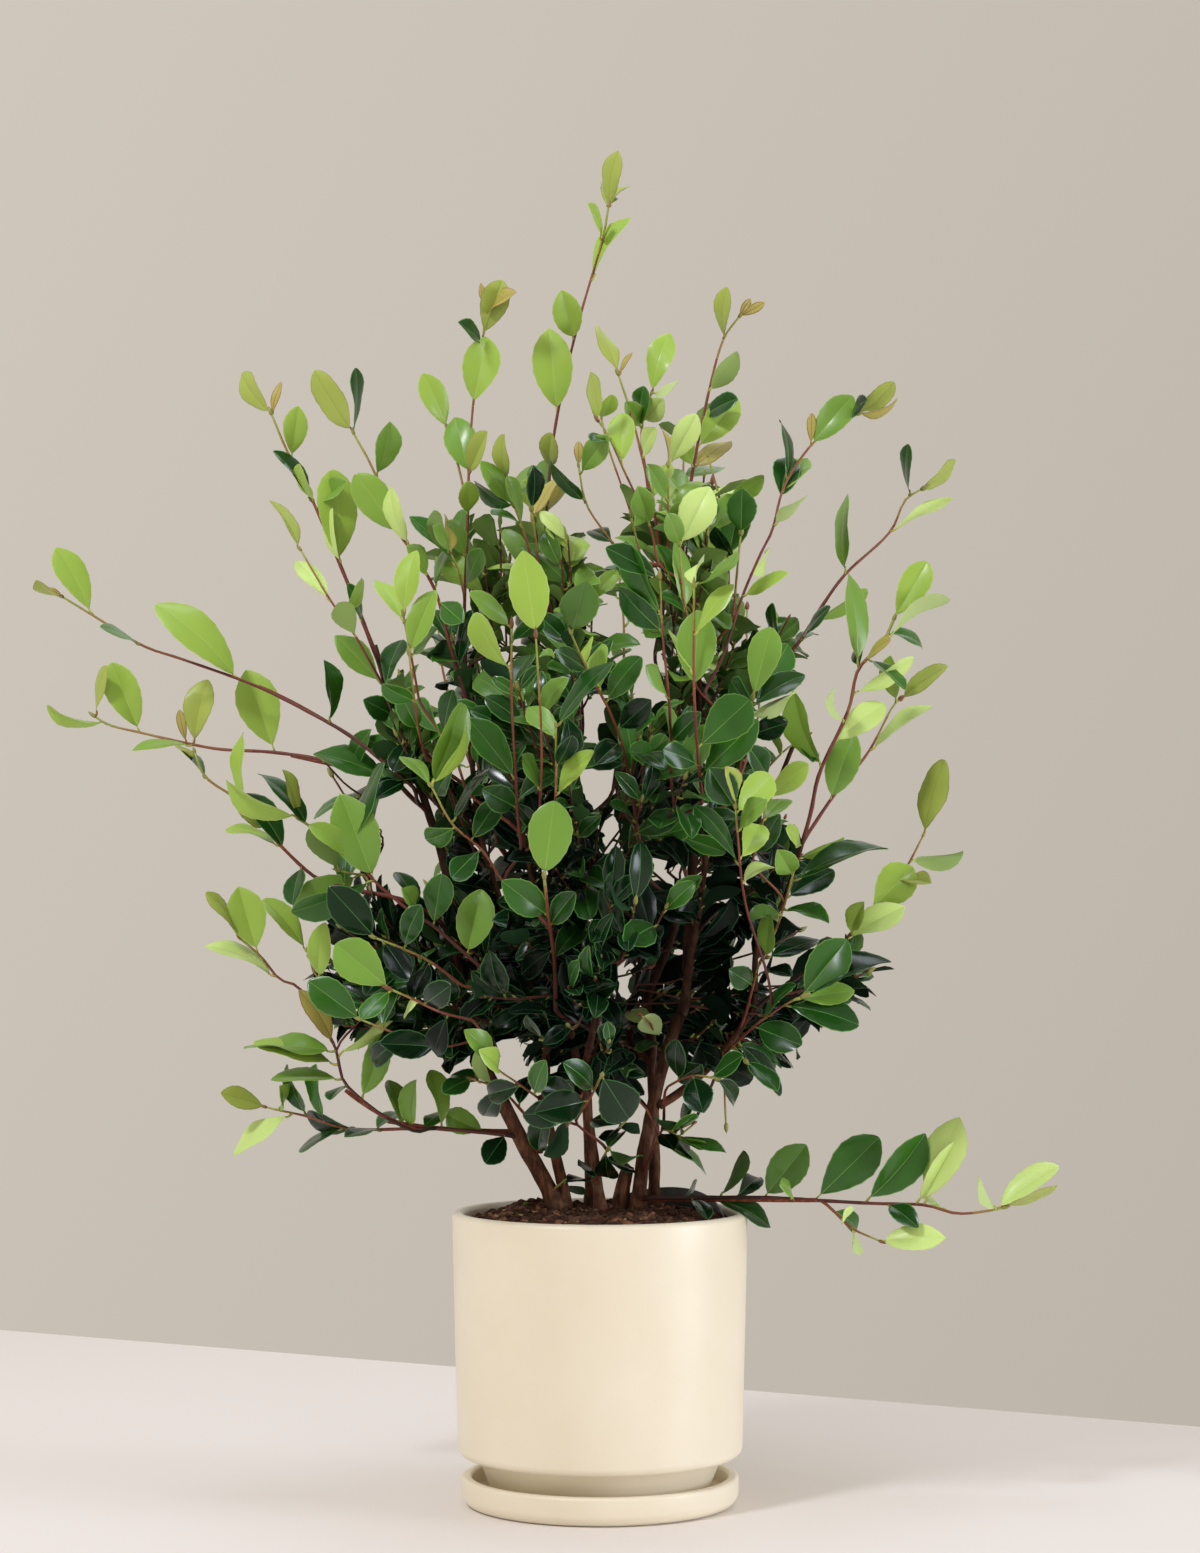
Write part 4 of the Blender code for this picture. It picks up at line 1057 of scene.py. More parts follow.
def grow_stems():
    """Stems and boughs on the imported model's paths, each carried on by its leader."""
    for name, (start, end, foot_radius, top_radius, bend) in {**STEMS, **BOUGHS}.items():
        if name in STEMS:
            start = (*start, STEM_FOOT)
        share = np.linspace(0, 1, STEM_MARKS)[:, None]
        line = np.array(start) + (np.array(end) - np.array(start)) * share
        line = line + np.array(bend) * 4 * share * (1 - share)
        marks = [0.0, 1.0]
        radii = [foot_radius, top_radius]
        knots = line
        if name in CARRIED_ON:
            (root_radius, tip_radius), points = LEADERS[CARRIED_ON[name]]
            rest = np.array([sight(*point) for point in points])
            knots = np.vstack([line, rest[1:]])
            own = float(np.sum(np.linalg.norm(np.diff(line, axis=0), axis=1)))
            more = float(np.sum(np.linalg.norm(np.diff(rest, axis=0), axis=1)))
            marks = [0.0, own / (own + more), 1.0]
            radii = [foot_radius, top_radius, tip_radius * MM]
        path = smooth_path(knots, BARK_STEP)
        thickness = np.interp(np.linspace(0, 1, len(path)), marks, radii)
        if name in STEMS:
            near_foot = np.maximum(0.0, 1.0 - (path[:, 2] - SOIL_TOP) / FLARE_HEIGHT)
            thickness = thickness * (1.0 + (FLARE - 1.0) * np.minimum(near_foot, 1.0))
        keep_limb(path, thickness, PIECE_OF[name])
    for (foot_radius, top_radius), points in SIDE_STEMS.values():
        line = drawn_path(points, BARK_STEP)
        keep_limb(line, np.linspace(foot_radius, top_radius, len(line)) * MM, "stem_bark")
    for leader in FREE_LEADERS:
        (root_radius, tip_radius), points = LEADERS[leader]
        line = drawn_path(points, BARK_STEP)
        fork = fork_for(line, root_radius * MM)[0]
        grow_from(fork, line, root_radius * MM, tip_radius * MM, "bough_bark")


def forward(across, up):
    """How much nearer the front a shoot stands where it belongs to the full middle of the crown."""
    middle = np.maximum(0.0, 1.0 - (across / FORWARD_HALF) ** 2)
    rise = np.clip((up - FORWARD_LOW[0]) / (FORWARD_LOW[1] - FORWARD_LOW[0]), 0.0, 1.0)
    fall = np.clip((FORWARD_HIGH[1] - up) / (FORWARD_HIGH[1] - FORWARD_HIGH[0]), 0.0, 1.0)
    return FORWARD * middle * np.minimum(rise, fall)


def grow_shoots():
    """Measured shoots, the one nearest to the wood that is there first, and the outer shoots."""
    waiting = {}
    for name, shoot in SHOOTS.items():
        (root_depth, tip_depth, radius), points = shoot[:2]
        flat = np.array(points, float)
        reach = np.concatenate([[0.0], np.cumsum(np.linalg.norm(np.diff(flat, axis=0), axis=1))])
        depths = np.interp(reach, (0.0, reach[-1]), (root_depth, tip_depth))
        outward = ROOT_FORWARD + (1.0 - ROOT_FORWARD) * reach / reach[-1]
        depths = np.maximum(depths - forward(flat[:, 0], flat[:, 1]) * outward, FOREMOST)
        line = smooth_path([sight(x, z, y) for (x, z), y in zip(flat, depths)], TWIG_STEP)
        waiting[name] = (line, radius * MM)
    while waiting:
        offers = {name: fork_for(line, radius) for name, (line, radius) in waiting.items()}
        name = min(offers, key=lambda key: offers[key][1])
        line, radius = waiting.pop(name)
        tip_radius = max(TIP_RADIUS, radius * TIP_THINNEST)
        shoots[name] = grow_from(offers[name][0], line, radius, tip_radius, "young_twigs")
        shoots[name]["own"] = line
    for *points, radius in OUTER_SHOOTS.values():
        line = smooth_path(np.array(points) * MM, TWIG_STEP)
        fork = fork_for(line, radius * MM)[0]
        grow_from(fork, line, radius * MM, TIP_RADIUS, "young_twigs", leafy=OUTER_YOUTH)


# ---------------------------------------------------------------- leaves


def leaf(base, tip, face, width, tone, fold, arch, detail):
    """Keeps one leaf: where its stalk starts, where it ends, and which way its upper side looks."""
    record = {"base": base, "tip": tip, "face": face, "width": width, "tone": tone}
    record.update({"fold": fold, "arch": arch, "detail": detail})
    record["rise"] = luck.uniform(*OUTLINE_RISE)
    record["fall"] = luck.uniform(*OUTLINE_FALL)
    record["twist"] = luck.normal(0.0, TWIST)
    record["ripple"] = luck.uniform(*RIPPLE)
    record["phase"] = luck.uniform(0.0, FULL_TURN)
    leaves.append(record)


def strayed(tone):
    """The tone, or now and then the one next to it on the ladder from dark to fresh."""
    if tone not in TONE_LADDER or luck.random() > 2 * TONE_STRAY:
        return tone
    step = 1 if luck.random() < 0.5 else -1
    return TONE_LADDER[min(max(TONE_LADDER.index(tone) + step, 0), len(TONE_LADDER) - 1)]


def swing(drawn):
    """How far in depth, in mm, a leaf drawn this long swings so as to be of the usual length."""
    depth = min(SWING_SHARE * math.sqrt(max(0.0, USUAL_LENGTH**2 - drawn**2)), SWING_MOST)
    return depth * (-1.0 if luck.random() < SWING_NEAR else 1.0)


def own_leaves():
    """Measured leaves of each measured shoot."""
    for name, shoot in shoots.items():
        line = shoot["own"]
        across, up = seen(line)
        for base_x, base_z, tip_x, tip_z, width, tone in SHOOTS[name][2]:
            base = line[int(np.argmin((across - base_x) ** 2 + (up - base_z) ** 2))]
            drawn = math.hypot(tip_x - base_x, tip_z - base_z)
            young_tip = tone == "B" and drawn <= YOUNG_TIP_LENGTH
            depth = base[1] / MM
            tip = sight(tip_x, tip_z, depth if young_tip else depth + swing(drawn))
            axis = unit(tip - base)
            length = np.linalg.norm(tip - base)
            towards = EYE - (base + tip) / 2
            facing = unit(towards - np.dot(towards, axis) * axis)
            shown_width = width * MM * (1.0 + base[1] / EYE_DISTANCE)
            real_width = max(shown_width, LEAF_WIDTH_SHARE * length * luck.uniform(*WIDTH_STRAY))
            if young_tip:
                real_width = max(shown_width, YOUNG_TIP_WIDTH * length)
            roll = min(math.acos(min(1.0, shown_width / real_width)), ROLL_LIMIT)
            across_leaf = np.cross(axis, facing)
            if across_leaf[2] < 0.0:
                across_leaf = -across_leaf
            if luck.random() < TURNED_DOWN:
                across_leaf = -across_leaf
            face = math.cos(roll) * facing + math.sin(roll) * across_leaf
            if tone.islower():
                face = -face
            fold = math.radians(luck.uniform(*SHOWN_FOLD))
            arch = luck.uniform(*SHOWN_ARCH)
            tone = strayed(tone.upper()) if width < STRAY_WIDEST else tone.upper()
            leaf(base, tip, face, real_width * FOLD_ALLOWANCE, tone, fold, arch, "fine")


def chart_cells(left, up):
    """Row and column of a chart for millimetres from the middle and up."""
    row = np.clip((up / CHART_CELL).astype(int), 0, CHART_ROWS - 1)
    return row, np.clip(((left + CHART_LEFT) / CHART_CELL).astype(int), 0, CHART_COLUMNS - 1)


def front_cells(places):
    """Cells of the front view's charts in which places are seen."""
    return chart_cells(*seen(places))


def side_cells(places):
    """Cells of the side view's chart in which places are seen."""
    return chart_cells(places[..., 1] / MM, places[..., 2] / MM)


def blade_grid(base, tip, face, width, along, over):
    """Places spread evenly over a leaf's blade."""
    axis = tip - base
    side = unit(np.cross(face, axis)) * width / 2
    half = along**USUAL_RISE * (1 - along) ** USUAL_FALL / OUTLINE_PEAK
    return (base + along[:, None, None] * axis + (half[:, None] * over)[:, :, None] * side).reshape(-1, 3)


def blade_places(base, tip, face, width):
    """A few places spread over a leaf's blade."""
    axis = tip - base
    side = unit(np.cross(face, axis)) * width / 2
    return base + BLADE_SHARES[:, :1] * axis + BLADE_SHARES[:, 1:] * side


def mark_limb(line):
    """Notes on the chart how near the front a limb is, so that it stays in sight."""
    row, column = front_cells(line)
    for shift in (-1, 0, 1):
        np.minimum.at(front_chart, (row, np.clip(column + shift, 0, CHART_COLUMNS - 1)), line[:, 1])


def mark_shown():
    """Notes on the charts the lower stems and the measured leaves, so that nothing grows over them."""
    for limb in limbs:
        if limb["piece"] in ("stem_bark", "bough_bark"):
            end = limb["line"][-1][0]
            bare = BARE_RIGHT if end > RIGHT_SIDE else BARE_MIDDLE if end > LEFT_SIDE else BARE_HEIGHT
            mark_limb(limb["line"][limb["line"][:, 2] < bare])
    mark_limb(shoots["hero_stem"]["line"])
    for record in leaves:
        blade = [record[key] for key in ("base", "tip", "face", "width")]
        places = blade_grid(*blade, *MARKS)
        np.minimum.at(front_chart, front_cells(places), places[:, 1])
        cover(*blade)


def is_clear(places):
    """Whether places lie behind the measured leaves, and mostly out of the openings."""
    spots = front_cells(places)
    ahead = front_chart[spots]
    if np.mean((places[:, 1] < ahead - CHART_SLACK) & (ahead < NOTHING_AHEAD)) > HIDING_SHARE:
        return False
    return np.mean(opening[spots]) < OPENING_SHARE


def tone_for(youth):
    """Leaf tone for an age from 0, dark and old, to 1, fresh."""
    age = youth + luck.normal(0.0, AGE_STRAY)
    for least, tone in TONE_AGES:
        if age > least:
            return tone
    return OLDEST_TONE


def want_cover():
    """Marks on the cover charts how many leaves deep each mass of the crown should be."""
    rows, columns = np.mgrid[0:CHART_ROWS, 0:CHART_COLUMNS]
    up = (rows + 0.5) * CHART_CELL
    across = (columns + 0.5) * CHART_CELL - CHART_LEFT
    for name in CORE_MASSES:
        low, high = (np.array(corner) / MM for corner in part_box(name))
        middle, half = (low + high) / 2, (high - low) / 2 * WANTED_SHARE
        height = ((up - middle[2]) / half[2]) ** 2
        inside_front = ((across - middle[0]) / half[0]) ** 2 + height < 1.0
        inside_side = ((across - middle[1]) / half[1]) ** 2 + height < 1.0
        wanted["front"][inside_front] = UPPER_LAYERS if name.startswith("upper") else FRONT_LAYERS
        wanted["side"][inside_side] = SIDE_LAYERS
    for x, z, half_width, half_height in WINDOWS:
        opening[((across - x) / half_width) ** 2 + ((up - z) / half_height) ** 2 < 1.0] = 1.0
    wanted["front"][opening > 0] = 0.0
    stray[wanted["front"] == 0] = 1.0


def need(places):
    """How much cover the crown still needs where places are seen, from the front and the side."""
    front = front_cells(places)
    ahead = np.maximum(wanted["front"][front], 0.0)
    ahead = ahead - OPENING_COST * opening[front] - STRAY_COST * stray[front]
    beside = np.maximum(wanted["side"][side_cells(places)], 0.0)
    return float(np.mean(ahead) + SIDE_WEIGHT * np.mean(beside))


def cover(base, tip, face, width):
    """Notes on the cover charts that a leaf is there."""
    places = blade_grid(base, tip, face, width, *GRID)
    for name, spots in (("front", front_cells(places)), ("side", side_cells(places))):
        unique = np.unique(np.stack(spots), axis=1)
        wanted[name][unique[0], unique[1]] -= 1.0


def rule_leaves(limb, youth, spacing, lengths, reach, keen=0.0):
    """Leaves by the seeded rule: alternate round the twig from its tip back, each turned to the
    side where the crown is most open."""
    line = limb["line"]
    headings = limb["headings"]
    steps = np.linalg.norm(np.diff(line, axis=0), axis=1)
    from_tip = np.concatenate([[0.0], np.cumsum(steps[::-1])])[::-1]
    turn = luck.uniform(0.0, FULL_TURN)
    wander = WANDER + WANDER_OLD * min(max(WANDER_YOUTH - youth, 0.0), 1.0)
    distance = luck.uniform(0.0, FIRST_LEAF)
    number = 0
    made = 0
    while distance < min(reach, from_tip[0] * LEAFY_SHARE):
        base = np.array([np.interp(-distance, -from_tip, line[:, k]) for k in range(3)])
        heading = unit(np.array([np.interp(-distance, -from_tip, headings[:, k]) for k in range(3)]))
        start_side = unit(np.cross(heading, UP) + SIDE_NUDGE)
        other_side = np.cross(heading, start_side)
        at_tip = number < TIP_LEAVES
        offers = []
        for attempt in range(TURNS_TRIED):
            round_turn = turn + number * PHYLLOTAXIS + TURN_STEP * attempt + luck.normal(0.0, TURN_STRAY)
            outward = math.cos(round_turn) * start_side + math.sin(round_turn) * other_side
            angle = math.radians(luck.uniform(*(TIP_ANGLES if at_tip else LEAF_ANGLES)))
            way = math.cos(angle) * heading + math.sin(angle) * outward
            way = unit(way + DROOP * luck.uniform(0.0, DROOP_MOST))
            length = luck.uniform(*lengths) * MM
            if at_tip:
                length *= luck.uniform(*TIP_LENGTH)
            tip = base + way * length
            outside = unit((base - HEART) * LEVEL)
            light = unit(LIGHT_WAY + outside + luck.normal(0.0, wander, 3))
            face = HEADING_SHARE * heading + light
            face = unit(face - np.dot(face, way) * way)
            width = length * luck.uniform(*LEAF_WIDTHS)
            if tip[2] < LOWEST_LEAF or not is_clear(blade_places(base, tip, face, width)):
                continue
            use = need(blade_grid(base, tip, face, width, *GRID))
            use = use + luck.uniform(0.0, USE_STRAY) - LATER_COST * attempt
            offers.append((use, tip, face, width))
        if offers:
            use, tip, face, width = max(offers, key=lambda offer: offer[0])
            if use > keen:
                fold = math.radians(luck.uniform(*RULE_FOLD))
                arch = luck.uniform(*RULE_ARCH)
                tone = tone_for(youth - AGING_PER_LEAF * number)
                leaf(base, tip, face, width, tone, fold, arch, "plain")
                cover(base, tip, face, width)
                made += 1
        number += 1
        distance += spacing * luck.uniform(*SPACING_STRAY) * (TIP_SPACING if number < TIP_LEAVES else 1.0)
    return made


def grow_outer_leaves():
    """Leaves of the rear and side shoots, which the front view doesn't show."""
    for limb in limbs:
        if limb["leafy"]:
            rule_leaves(limb, limb["leafy"], *OUTER_LEAVES, OUTER_KEEN)


def grow_leader_leaves():
    """Dark leaves along the leaders inside the crown: old leaves, darker still as painted shade."""
    for limb in limbs:
        reach = limb["line"][-1][2] - LEADER_LEAF_LOW
        if limb["piece"] == "bough_bark" and reach > 0.0:
            rule_leaves(limb, LEADER_SHADED_YOUTH, LEADER_SPACING, LEADER_LENGTHS, reach, LEAST_USE)


def offered_twig(low, high, spots):
    """A twig somewhere inside a mass, headed out of the crown, with the use it is of, or None."""
    ball = luck.normal(0.0, 1.0, 3)
    ball = ball / np.linalg.norm(ball) * luck.uniform(*TIP_SHARES)
    tip = (low + high) / 2 + ball * ((high - low) / 2)
    rise = UP * luck.uniform(*TWIG_RISES)
    heading = unit(TWIG_OUTWARD * unit(tip - HEART) + TWIG_BALL * ball + rise)
    if tip[2] < LOW_TWIG:
        heading = unit(heading * FLATTER)
    root = tip - heading * luck.uniform(*FILLER_LENGTHS)
    middle = (root + tip) / 2 - UP * luck.uniform(*FILLER_SAG)
    line = np.stack((root, middle, tip))
    if not is_clear(line[1:]):
        return None
    nearest = float(np.min(np.linalg.norm(wood["place"] - root, axis=1)))
    return need(tip - heading * SPOTS_BACK + spots) - nearest * FAR_COST, line


def grow_fillers():
    """Twigs inside each foliage mass, each headed for where the crown is most open, with its leaves."""
    spots = unit(luck.normal(0.0, 1.0, (SPOTS, 3))) * SPOTS_SPREAD
    masses = [[np.array(corner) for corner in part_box(name)] for name in CORE_MASSES]
    for low, high in masses * FILLER_ROUNDS:
        offers = [offered_twig(low, high, spots) for attempt in range(TIPS_TRIED)]
        offers = [offer for offer in offers if offer]
        if not offers:
            continue
        use, line = max(offers, key=lambda offer: offer[0])
        if use < LEAST_NEED:
            continue
        line = smooth_path(line, TWIG_STEP)
        fork = fork_for(line, TWIG_RADIUS)[0]
        if not is_clear(np.linspace(wood["place"][fork], line[0], JOINT_MARKS)):
            continue
        limb = grow_from(fork, line, TWIG_RADIUS, TIP_RADIUS, "young_twigs", age=FILLER_AGE)
        # the leaves' tone grows fresher outward and upward, where they are younger; deep in the crown it is
        # darker, partly as painted shade
        outer = min(np.linalg.norm((line[-1] - HEART) / CROWN_HALF), OUTERMOST)
        youth = SHADED_CORE_YOUTH + OUTWARD_YOUTH_AND_LIGHT * outer**2
        youth = youth + UPWARD_YOUTH_AND_LIGHT * (line[-1][2] - YOUTH_FROM) / YOUTH_SPAN
        youth += luck.normal(0.0, YOUTH_STRAY)
        if not rule_leaves(limb, youth, *FILLER_LEAVES, luck.uniform(*FILLER_REACH), LEAST_USE):
            drop_limb()


def blade_faces(stations):
    """Corners and kinds of a leaf's faces, for so many rows across its blade."""
    last = stations - 1

    def at(j, c):
        return 2 + j * BLADE_COLUMNS + c

    faces = []
    kinds = []
    for c, kind in enumerate(STRIP_KINDS):
        faces += [(0, at(0, c), at(0, c + 1)), (at(last, c), 1, at(last, c + 1))]
        kinds += [kind, kind]
    faces += [(0, at(0, 8), at(0, 0)), (0, at(0, 7), at(0, 8))]
    faces += [(at(last, 0), at(last, 8), 1), (at(last, 8), at(last, 7), 1)]
    kinds += [UNDER] * 4
    for j in range(last):
        for c, kind in enumerate(STRIP_KINDS):
            faces.append((at(j, c), at(j + 1, c), at(j + 1, c + 1), at(j, c + 1)))
            kinds.append(kind)
        faces.append((at(j, 0), at(j, 8), at(j + 1, 8), at(j + 1, 0)))
        faces.append((at(j, 8), at(j, 7), at(j + 1, 7), at(j + 1, 8)))
        kinds += [UNDER, UNDER]
    first = at(stations, 0)
    for low in range(first, first + (STALK_RINGS - 1) * STALK_SIDES, STALK_SIDES):
        for k in range(STALK_SIDES):
            after = (k + 1) % STALK_SIDES
            faces.append((low + k, low + after, low + STALK_SIDES + after, low + STALK_SIDES + k))
    faces.append((first + 3, first + 2, first + 1, first))
    faces.append((first + 8, first + 9, first + 10, first + 11))
    kinds += [STALK] * (len(faces) - len(kinds))
    marks = np.zeros(first + STALK_RINGS * STALK_SIDES, int)
    marks[:2] = END_MARK
    for j in range(stations):
        marks[at(j, 0)], marks[at(j, 7)] = RIM_MARKS
        marks[at(j, 3)], marks[at(j, 4)] = RIB_MARKS
    return faces, kinds, marks


def leaf_places(batch, stations):
    """Vertices of a batch of leaves: base and tip, the rows across the blade, and the stalk's rings."""

    def each(key):
        return np.array([record[key] for record in batch], float)

    base, tip, face = each("base"), each("tip"), each("face")
    axis = tip - base
    length = np.linalg.norm(axis, axis=1)
    axis = axis / length[:, None]
    face = unit(face - np.sum(face * axis, axis=1, keepdims=True) * axis)
    side = np.cross(face, axis)
    stalk = np.minimum(STALK_LENGTH, length * STALK_SHARE)
    blade = length - stalk
    half = each("width") / 2
    fold, arch, twist = each("fold"), each("arch"), each("twist")
    ripple, phase = each("ripple"), each("phase")
    rise, fall = each("rise"), each("fall")
    widest = rise / (rise + fall)
    peak = widest**rise * (1 - widest) ** fall
    count = len(batch)
    first = 2 + stations * BLADE_COLUMNS
    share = 0.5 - 0.5 * np.cos(np.pi * np.arange(1, stations + 1) / (stations + 1))
    points = np.zeros((count, first + STALK_RINGS * STALK_SIDES, 3))
    points[:, 0] = base + axis * stalk[:, None]
    points[:, 1] = tip
    for j, t in enumerate(share):
        half_width = half * t**rise * (1 - t) ** fall / peak
        half_width = half_width * (1.0 + TOOTH * (-1) ** j) * (1.0 - TIP_PINCH * t**PINCH_POWER)
        middle = base + axis * (stalk + blade * t)[:, None]
        middle = middle + face * (arch * length * 2 * t * (1 - t))[:, None]
        angle = twist * (t - 0.5) * 2
        over = side * np.cos(angle)[:, None] + face * np.sin(angle)[:, None]
        high = face * np.cos(angle)[:, None] - side * np.sin(angle)[:, None]
        rim = np.minimum(RIM_WIDTH / np.maximum(half_width, NARROWEST), RIM_WIDEST)
        rib = np.minimum(RIB_WIDTH * (1 - RIB_TAPER * t) / np.maximum(half_width, NARROWEST), RIB_WIDEST)
        row = 2 + j * BLADE_COLUMNS
        for c, spot in enumerate((-1.0, -(1 - rim), -0.5, -rib, rib, 0.5, 1 - rim, 1.0)):
            u = np.broadcast_to(spot, (count,))
            lift = half_width * (np.tan(fold) * np.abs(u) * FOLD_RISE - FOLD_CURL * u**2)
            wave = np.sin(2 * np.pi * RIPPLE_WAVES * t + phase + (u < 0) * RIPPLE_SHIFT)
            wave = ripple * half * 2 * u**2 * wave
            quilt = QUILT * (-1) ** j * (c in (2, 5))
            thick = LEAF_THICK * (1 - u**2)
            place = middle + over * (u * half_width)[:, None]
            points[:, row + c] = place + high * (lift + wave + quilt + thick)[:, None]
        keel = -LEAF_KEEL * np.sin(np.pi * min(t + KEEL_SHIFT, 1.0))
        points[:, row + 8] = middle + high * keel
    for ring in range(STALK_RINGS):
        along = ring / (STALK_RINGS - 1)
        centre = base + axis * ((stalk + STALK_OVERLAP) * along)[:, None]
        centre = centre - face * (LEAF_KEEL * STALK_SINK * along + STALK_BOW * math.sin(math.pi * along))
        radius = STALK_RADIUS * (STALK_TAPER[0] - STALK_TAPER[1] * along)
        for k in range(STALK_SIDES):
            angle = math.pi / 2 * k + math.pi / 4
            spoke = side * math.cos(angle) + face * math.sin(angle)
            points[:, first + ring * STALK_SIDES + k] = centre + spoke * radius
    return points


def joined_mesh(name, batches, materials, marks=None):
    """One mesh of many small shapes, made from arrays: each batch has its places, faces and slots."""
    places = np.vstack([batch[0] for batch in batches])
    faces = []
    slots = []
    offset = 0
    for points, corners, kinds in batches:
        faces += [tuple(corner + offset for corner in face) for face in corners]
        slots += list(kinds)
        offset += len(points)
    mesh = bpy.data.meshes.new(name)
    lengths = np.array([len(face) for face in faces])
    starts = np.concatenate([[0], np.cumsum(lengths)[:-1]])
    mesh.vertices.add(len(places))
    mesh.vertices.foreach_set("co", np.asarray(places, np.float32).ravel())
    mesh.loops.add(int(lengths.sum()))
    mesh.loops.foreach_set("vertex_index", np.concatenate(faces).astype(np.int32))
    mesh.polygons.add(len(faces))
    mesh.polygons.foreach_set("loop_start", starts.astype(np.int32))
    mesh.polygons.foreach_set("material_index", np.asarray(slots, np.int32))
    mesh.update(calc_edges=True)
    mesh.validate()
    mesh.shade_smooth()
    if marks is not None:
        ends = np.empty(len(mesh.edges) * 2, np.int32)
        mesh.edges.foreach_get("vertices", ends)
        one, other = marks[ends[::2]], marks[ends[1::2]]
        low, high = np.minimum(one, other), np.maximum(one, other)
        along = (low == high) & (low < END_MARK)
        sharp = (low > 0) & (along | ((high == END_MARK) & (low < RIB_MARKS[0])))
        mesh.attributes.new("sharp_edge", "BOOLEAN", "EDGE").data.foreach_set("value", sharp)
    for material in materials:
        mesh.materials.append(material)
    piece = bpy.data.objects.new(name, mesh)
    bpy.context.collection.objects.link(piece)
    return piece


def make_leaves(name):
    """Leaves of one age, with a blade, underside, rib and stalk colour for each of its tones."""
    tones = [tone for tone in TONES if TONES[tone][-1] == name]
    batches = []
    marks = []
    for detail, stations in (("fine", FINE_STATIONS), ("plain", PLAIN_STATIONS)):
        batch = [record for record in leaves if record["tone"] in tones and record["detail"] == detail]
        if not batch:
            continue
        faces, kinds, edge_marks = blade_faces(stations)
        for record, points in zip(batch, leaf_places(batch, stations)):
            first_slot = tones.index(record["tone"]) * len(LEAF_PARTS)
            batches.append((points, faces, [first_slot + SLOT_OF[kind] for kind in kinds]))
            marks.append(edge_marks)
    materials = [material for tone in tones for material in leaf_materials(tone)]
    return joined_mesh(name, batches, materials, np.concatenate(marks))


def tube_arrays(line, radii, sides):
    """Rings round a line, turned evenly along it, with both ends closed."""
    headings = unit(np.gradient(line, axis=0))
    side = unit(np.cross(headings[0], RING_START))
    angles = np.linspace(0, FULL_TURN, sides, endpoint=False)
    rings = []
    for place, heading, radius in zip(line, headings, radii):
        side = unit(side - np.dot(side, heading) * heading)
        other = np.cross(heading, side)
        rings.append(place + radius * (np.cos(angles)[:, None] * side + np.sin(angles)[:, None] * other))
    last = (len(line) - 1) * sides
    quads = []
    for near in range(0, last, sides):
        for k in range(sides):
            after = (k + 1) % sides
            quads.append((near + k, near + after, near + sides + after, near + sides + k))
    quads.append(tuple(range(sides - 1, -1, -1)))
    quads.append(tuple(last + k for k in range(sides)))
    return np.vstack(rings), quads


def make_twigs():
    """Young twigs of every shoot, browner towards their root and greener towards their tip."""
    batches = []
    for limb in limbs:
        if limb["piece"] != "young_twigs":
            continue
        line = spaced(limb["line"], TWIG_RING)
        share = np.linspace(0, 1, len(line))
        radii = np.interp(share, np.linspace(0, 1, len(limb["radii"])), limb["radii"])
        nodes = 1.0 + TWIG_UNEVEN * np.sin(np.arange(len(line)) * TWIG_WAVE + luck.uniform(0, 6))
        rings, quads = tube_arrays(line, radii * nodes, TWIG_SIDES)
        reach = np.linspace((len(line) - 1) * TWIG_RING, 0.0, len(line))
        freshness = luck.uniform(*FRESHNESS)
        aging = OLD_AGING if limb["line"][0][2] < OLD_WOOD else SHOOT_AGING
        slots = []
        for number in range(len(quads)):
            ring = 0 if number == len(quads) - 2 else min(number // TWIG_SIDES, len(line) - 2)
            age = reach[ring] * aging / freshness + limb["age"] + luck.uniform(-BAND_STRAY, BAND_STRAY)
            slots.append(int(np.searchsorted(TWIG_BANDS, age)))
        batches.append((rings, quads, slots))
    return joined_mesh("young_twigs", batches, twig_materials())


def bark_tube(shape, limb, sides, relief, seed):
    """Rings along a limb, joined into bark with furrows that run up it."""
    line, radii, headings = limb["line"], limb["radii"], limb["headings"]
    before = Vector(headings[0])
    turn = Vector(UP).rotation_difference(before)
    loops = []
    climb = 0.0
    for i, (place, heading, radius) in enumerate(zip(line, headings, radii)):
        heading = Vector(heading)
        turn = before.rotation_difference(heading) @ turn
        before = heading
        if i:
            climb += float(np.linalg.norm(place - line[i - 1]))
        ring = bmesh.ops.create_circle(
            shape,
            cap_ends=i in (0, len(line) - 1),
            segments=sides,
            radius=float(radius),
            matrix=Matrix.LocRotScale(Vector(place), turn, None),
        )
        for vert in ring["verts"]:
            spoke = vert.co - Vector(place)
            flat = turn.inverted() @ spoke / radius
            swelling = 0.0
            for furrow, (round_scale, climb_scale, strength) in enumerate((FINE_FURROWS, BROAD_FURROWS)):
                spot = Vector((flat.x * round_scale, flat.y * round_scale, climb * climb_scale))
                swelling += strength * noise.noise(spot + seed * (furrow + 1.0))
            vert.co = Vector(place) + spoke * (1.0 + relief * swelling)
        loops.append(list({edge for vert in ring["verts"] for edge in vert.link_edges}))
    for near, far in zip(loops, loops[1:]):
        bmesh.ops.bridge_loops(shape, edges=near + far)


def finished(name, shape, material, smooth=True):
    """Object of a finished bmesh, facing outward, smooth, and with its material."""
    bmesh.ops.recalc_face_normals(shape, faces=shape.faces)
    mesh = bpy.data.meshes.new(name)
    shape.to_mesh(mesh)
    shape.free()
    if smooth:
        mesh.shade_smooth()
    mesh.materials.append(material)
    piece = bpy.data.objects.new(name, mesh)
    bpy.context.collection.objects.link(piece)
    return piece


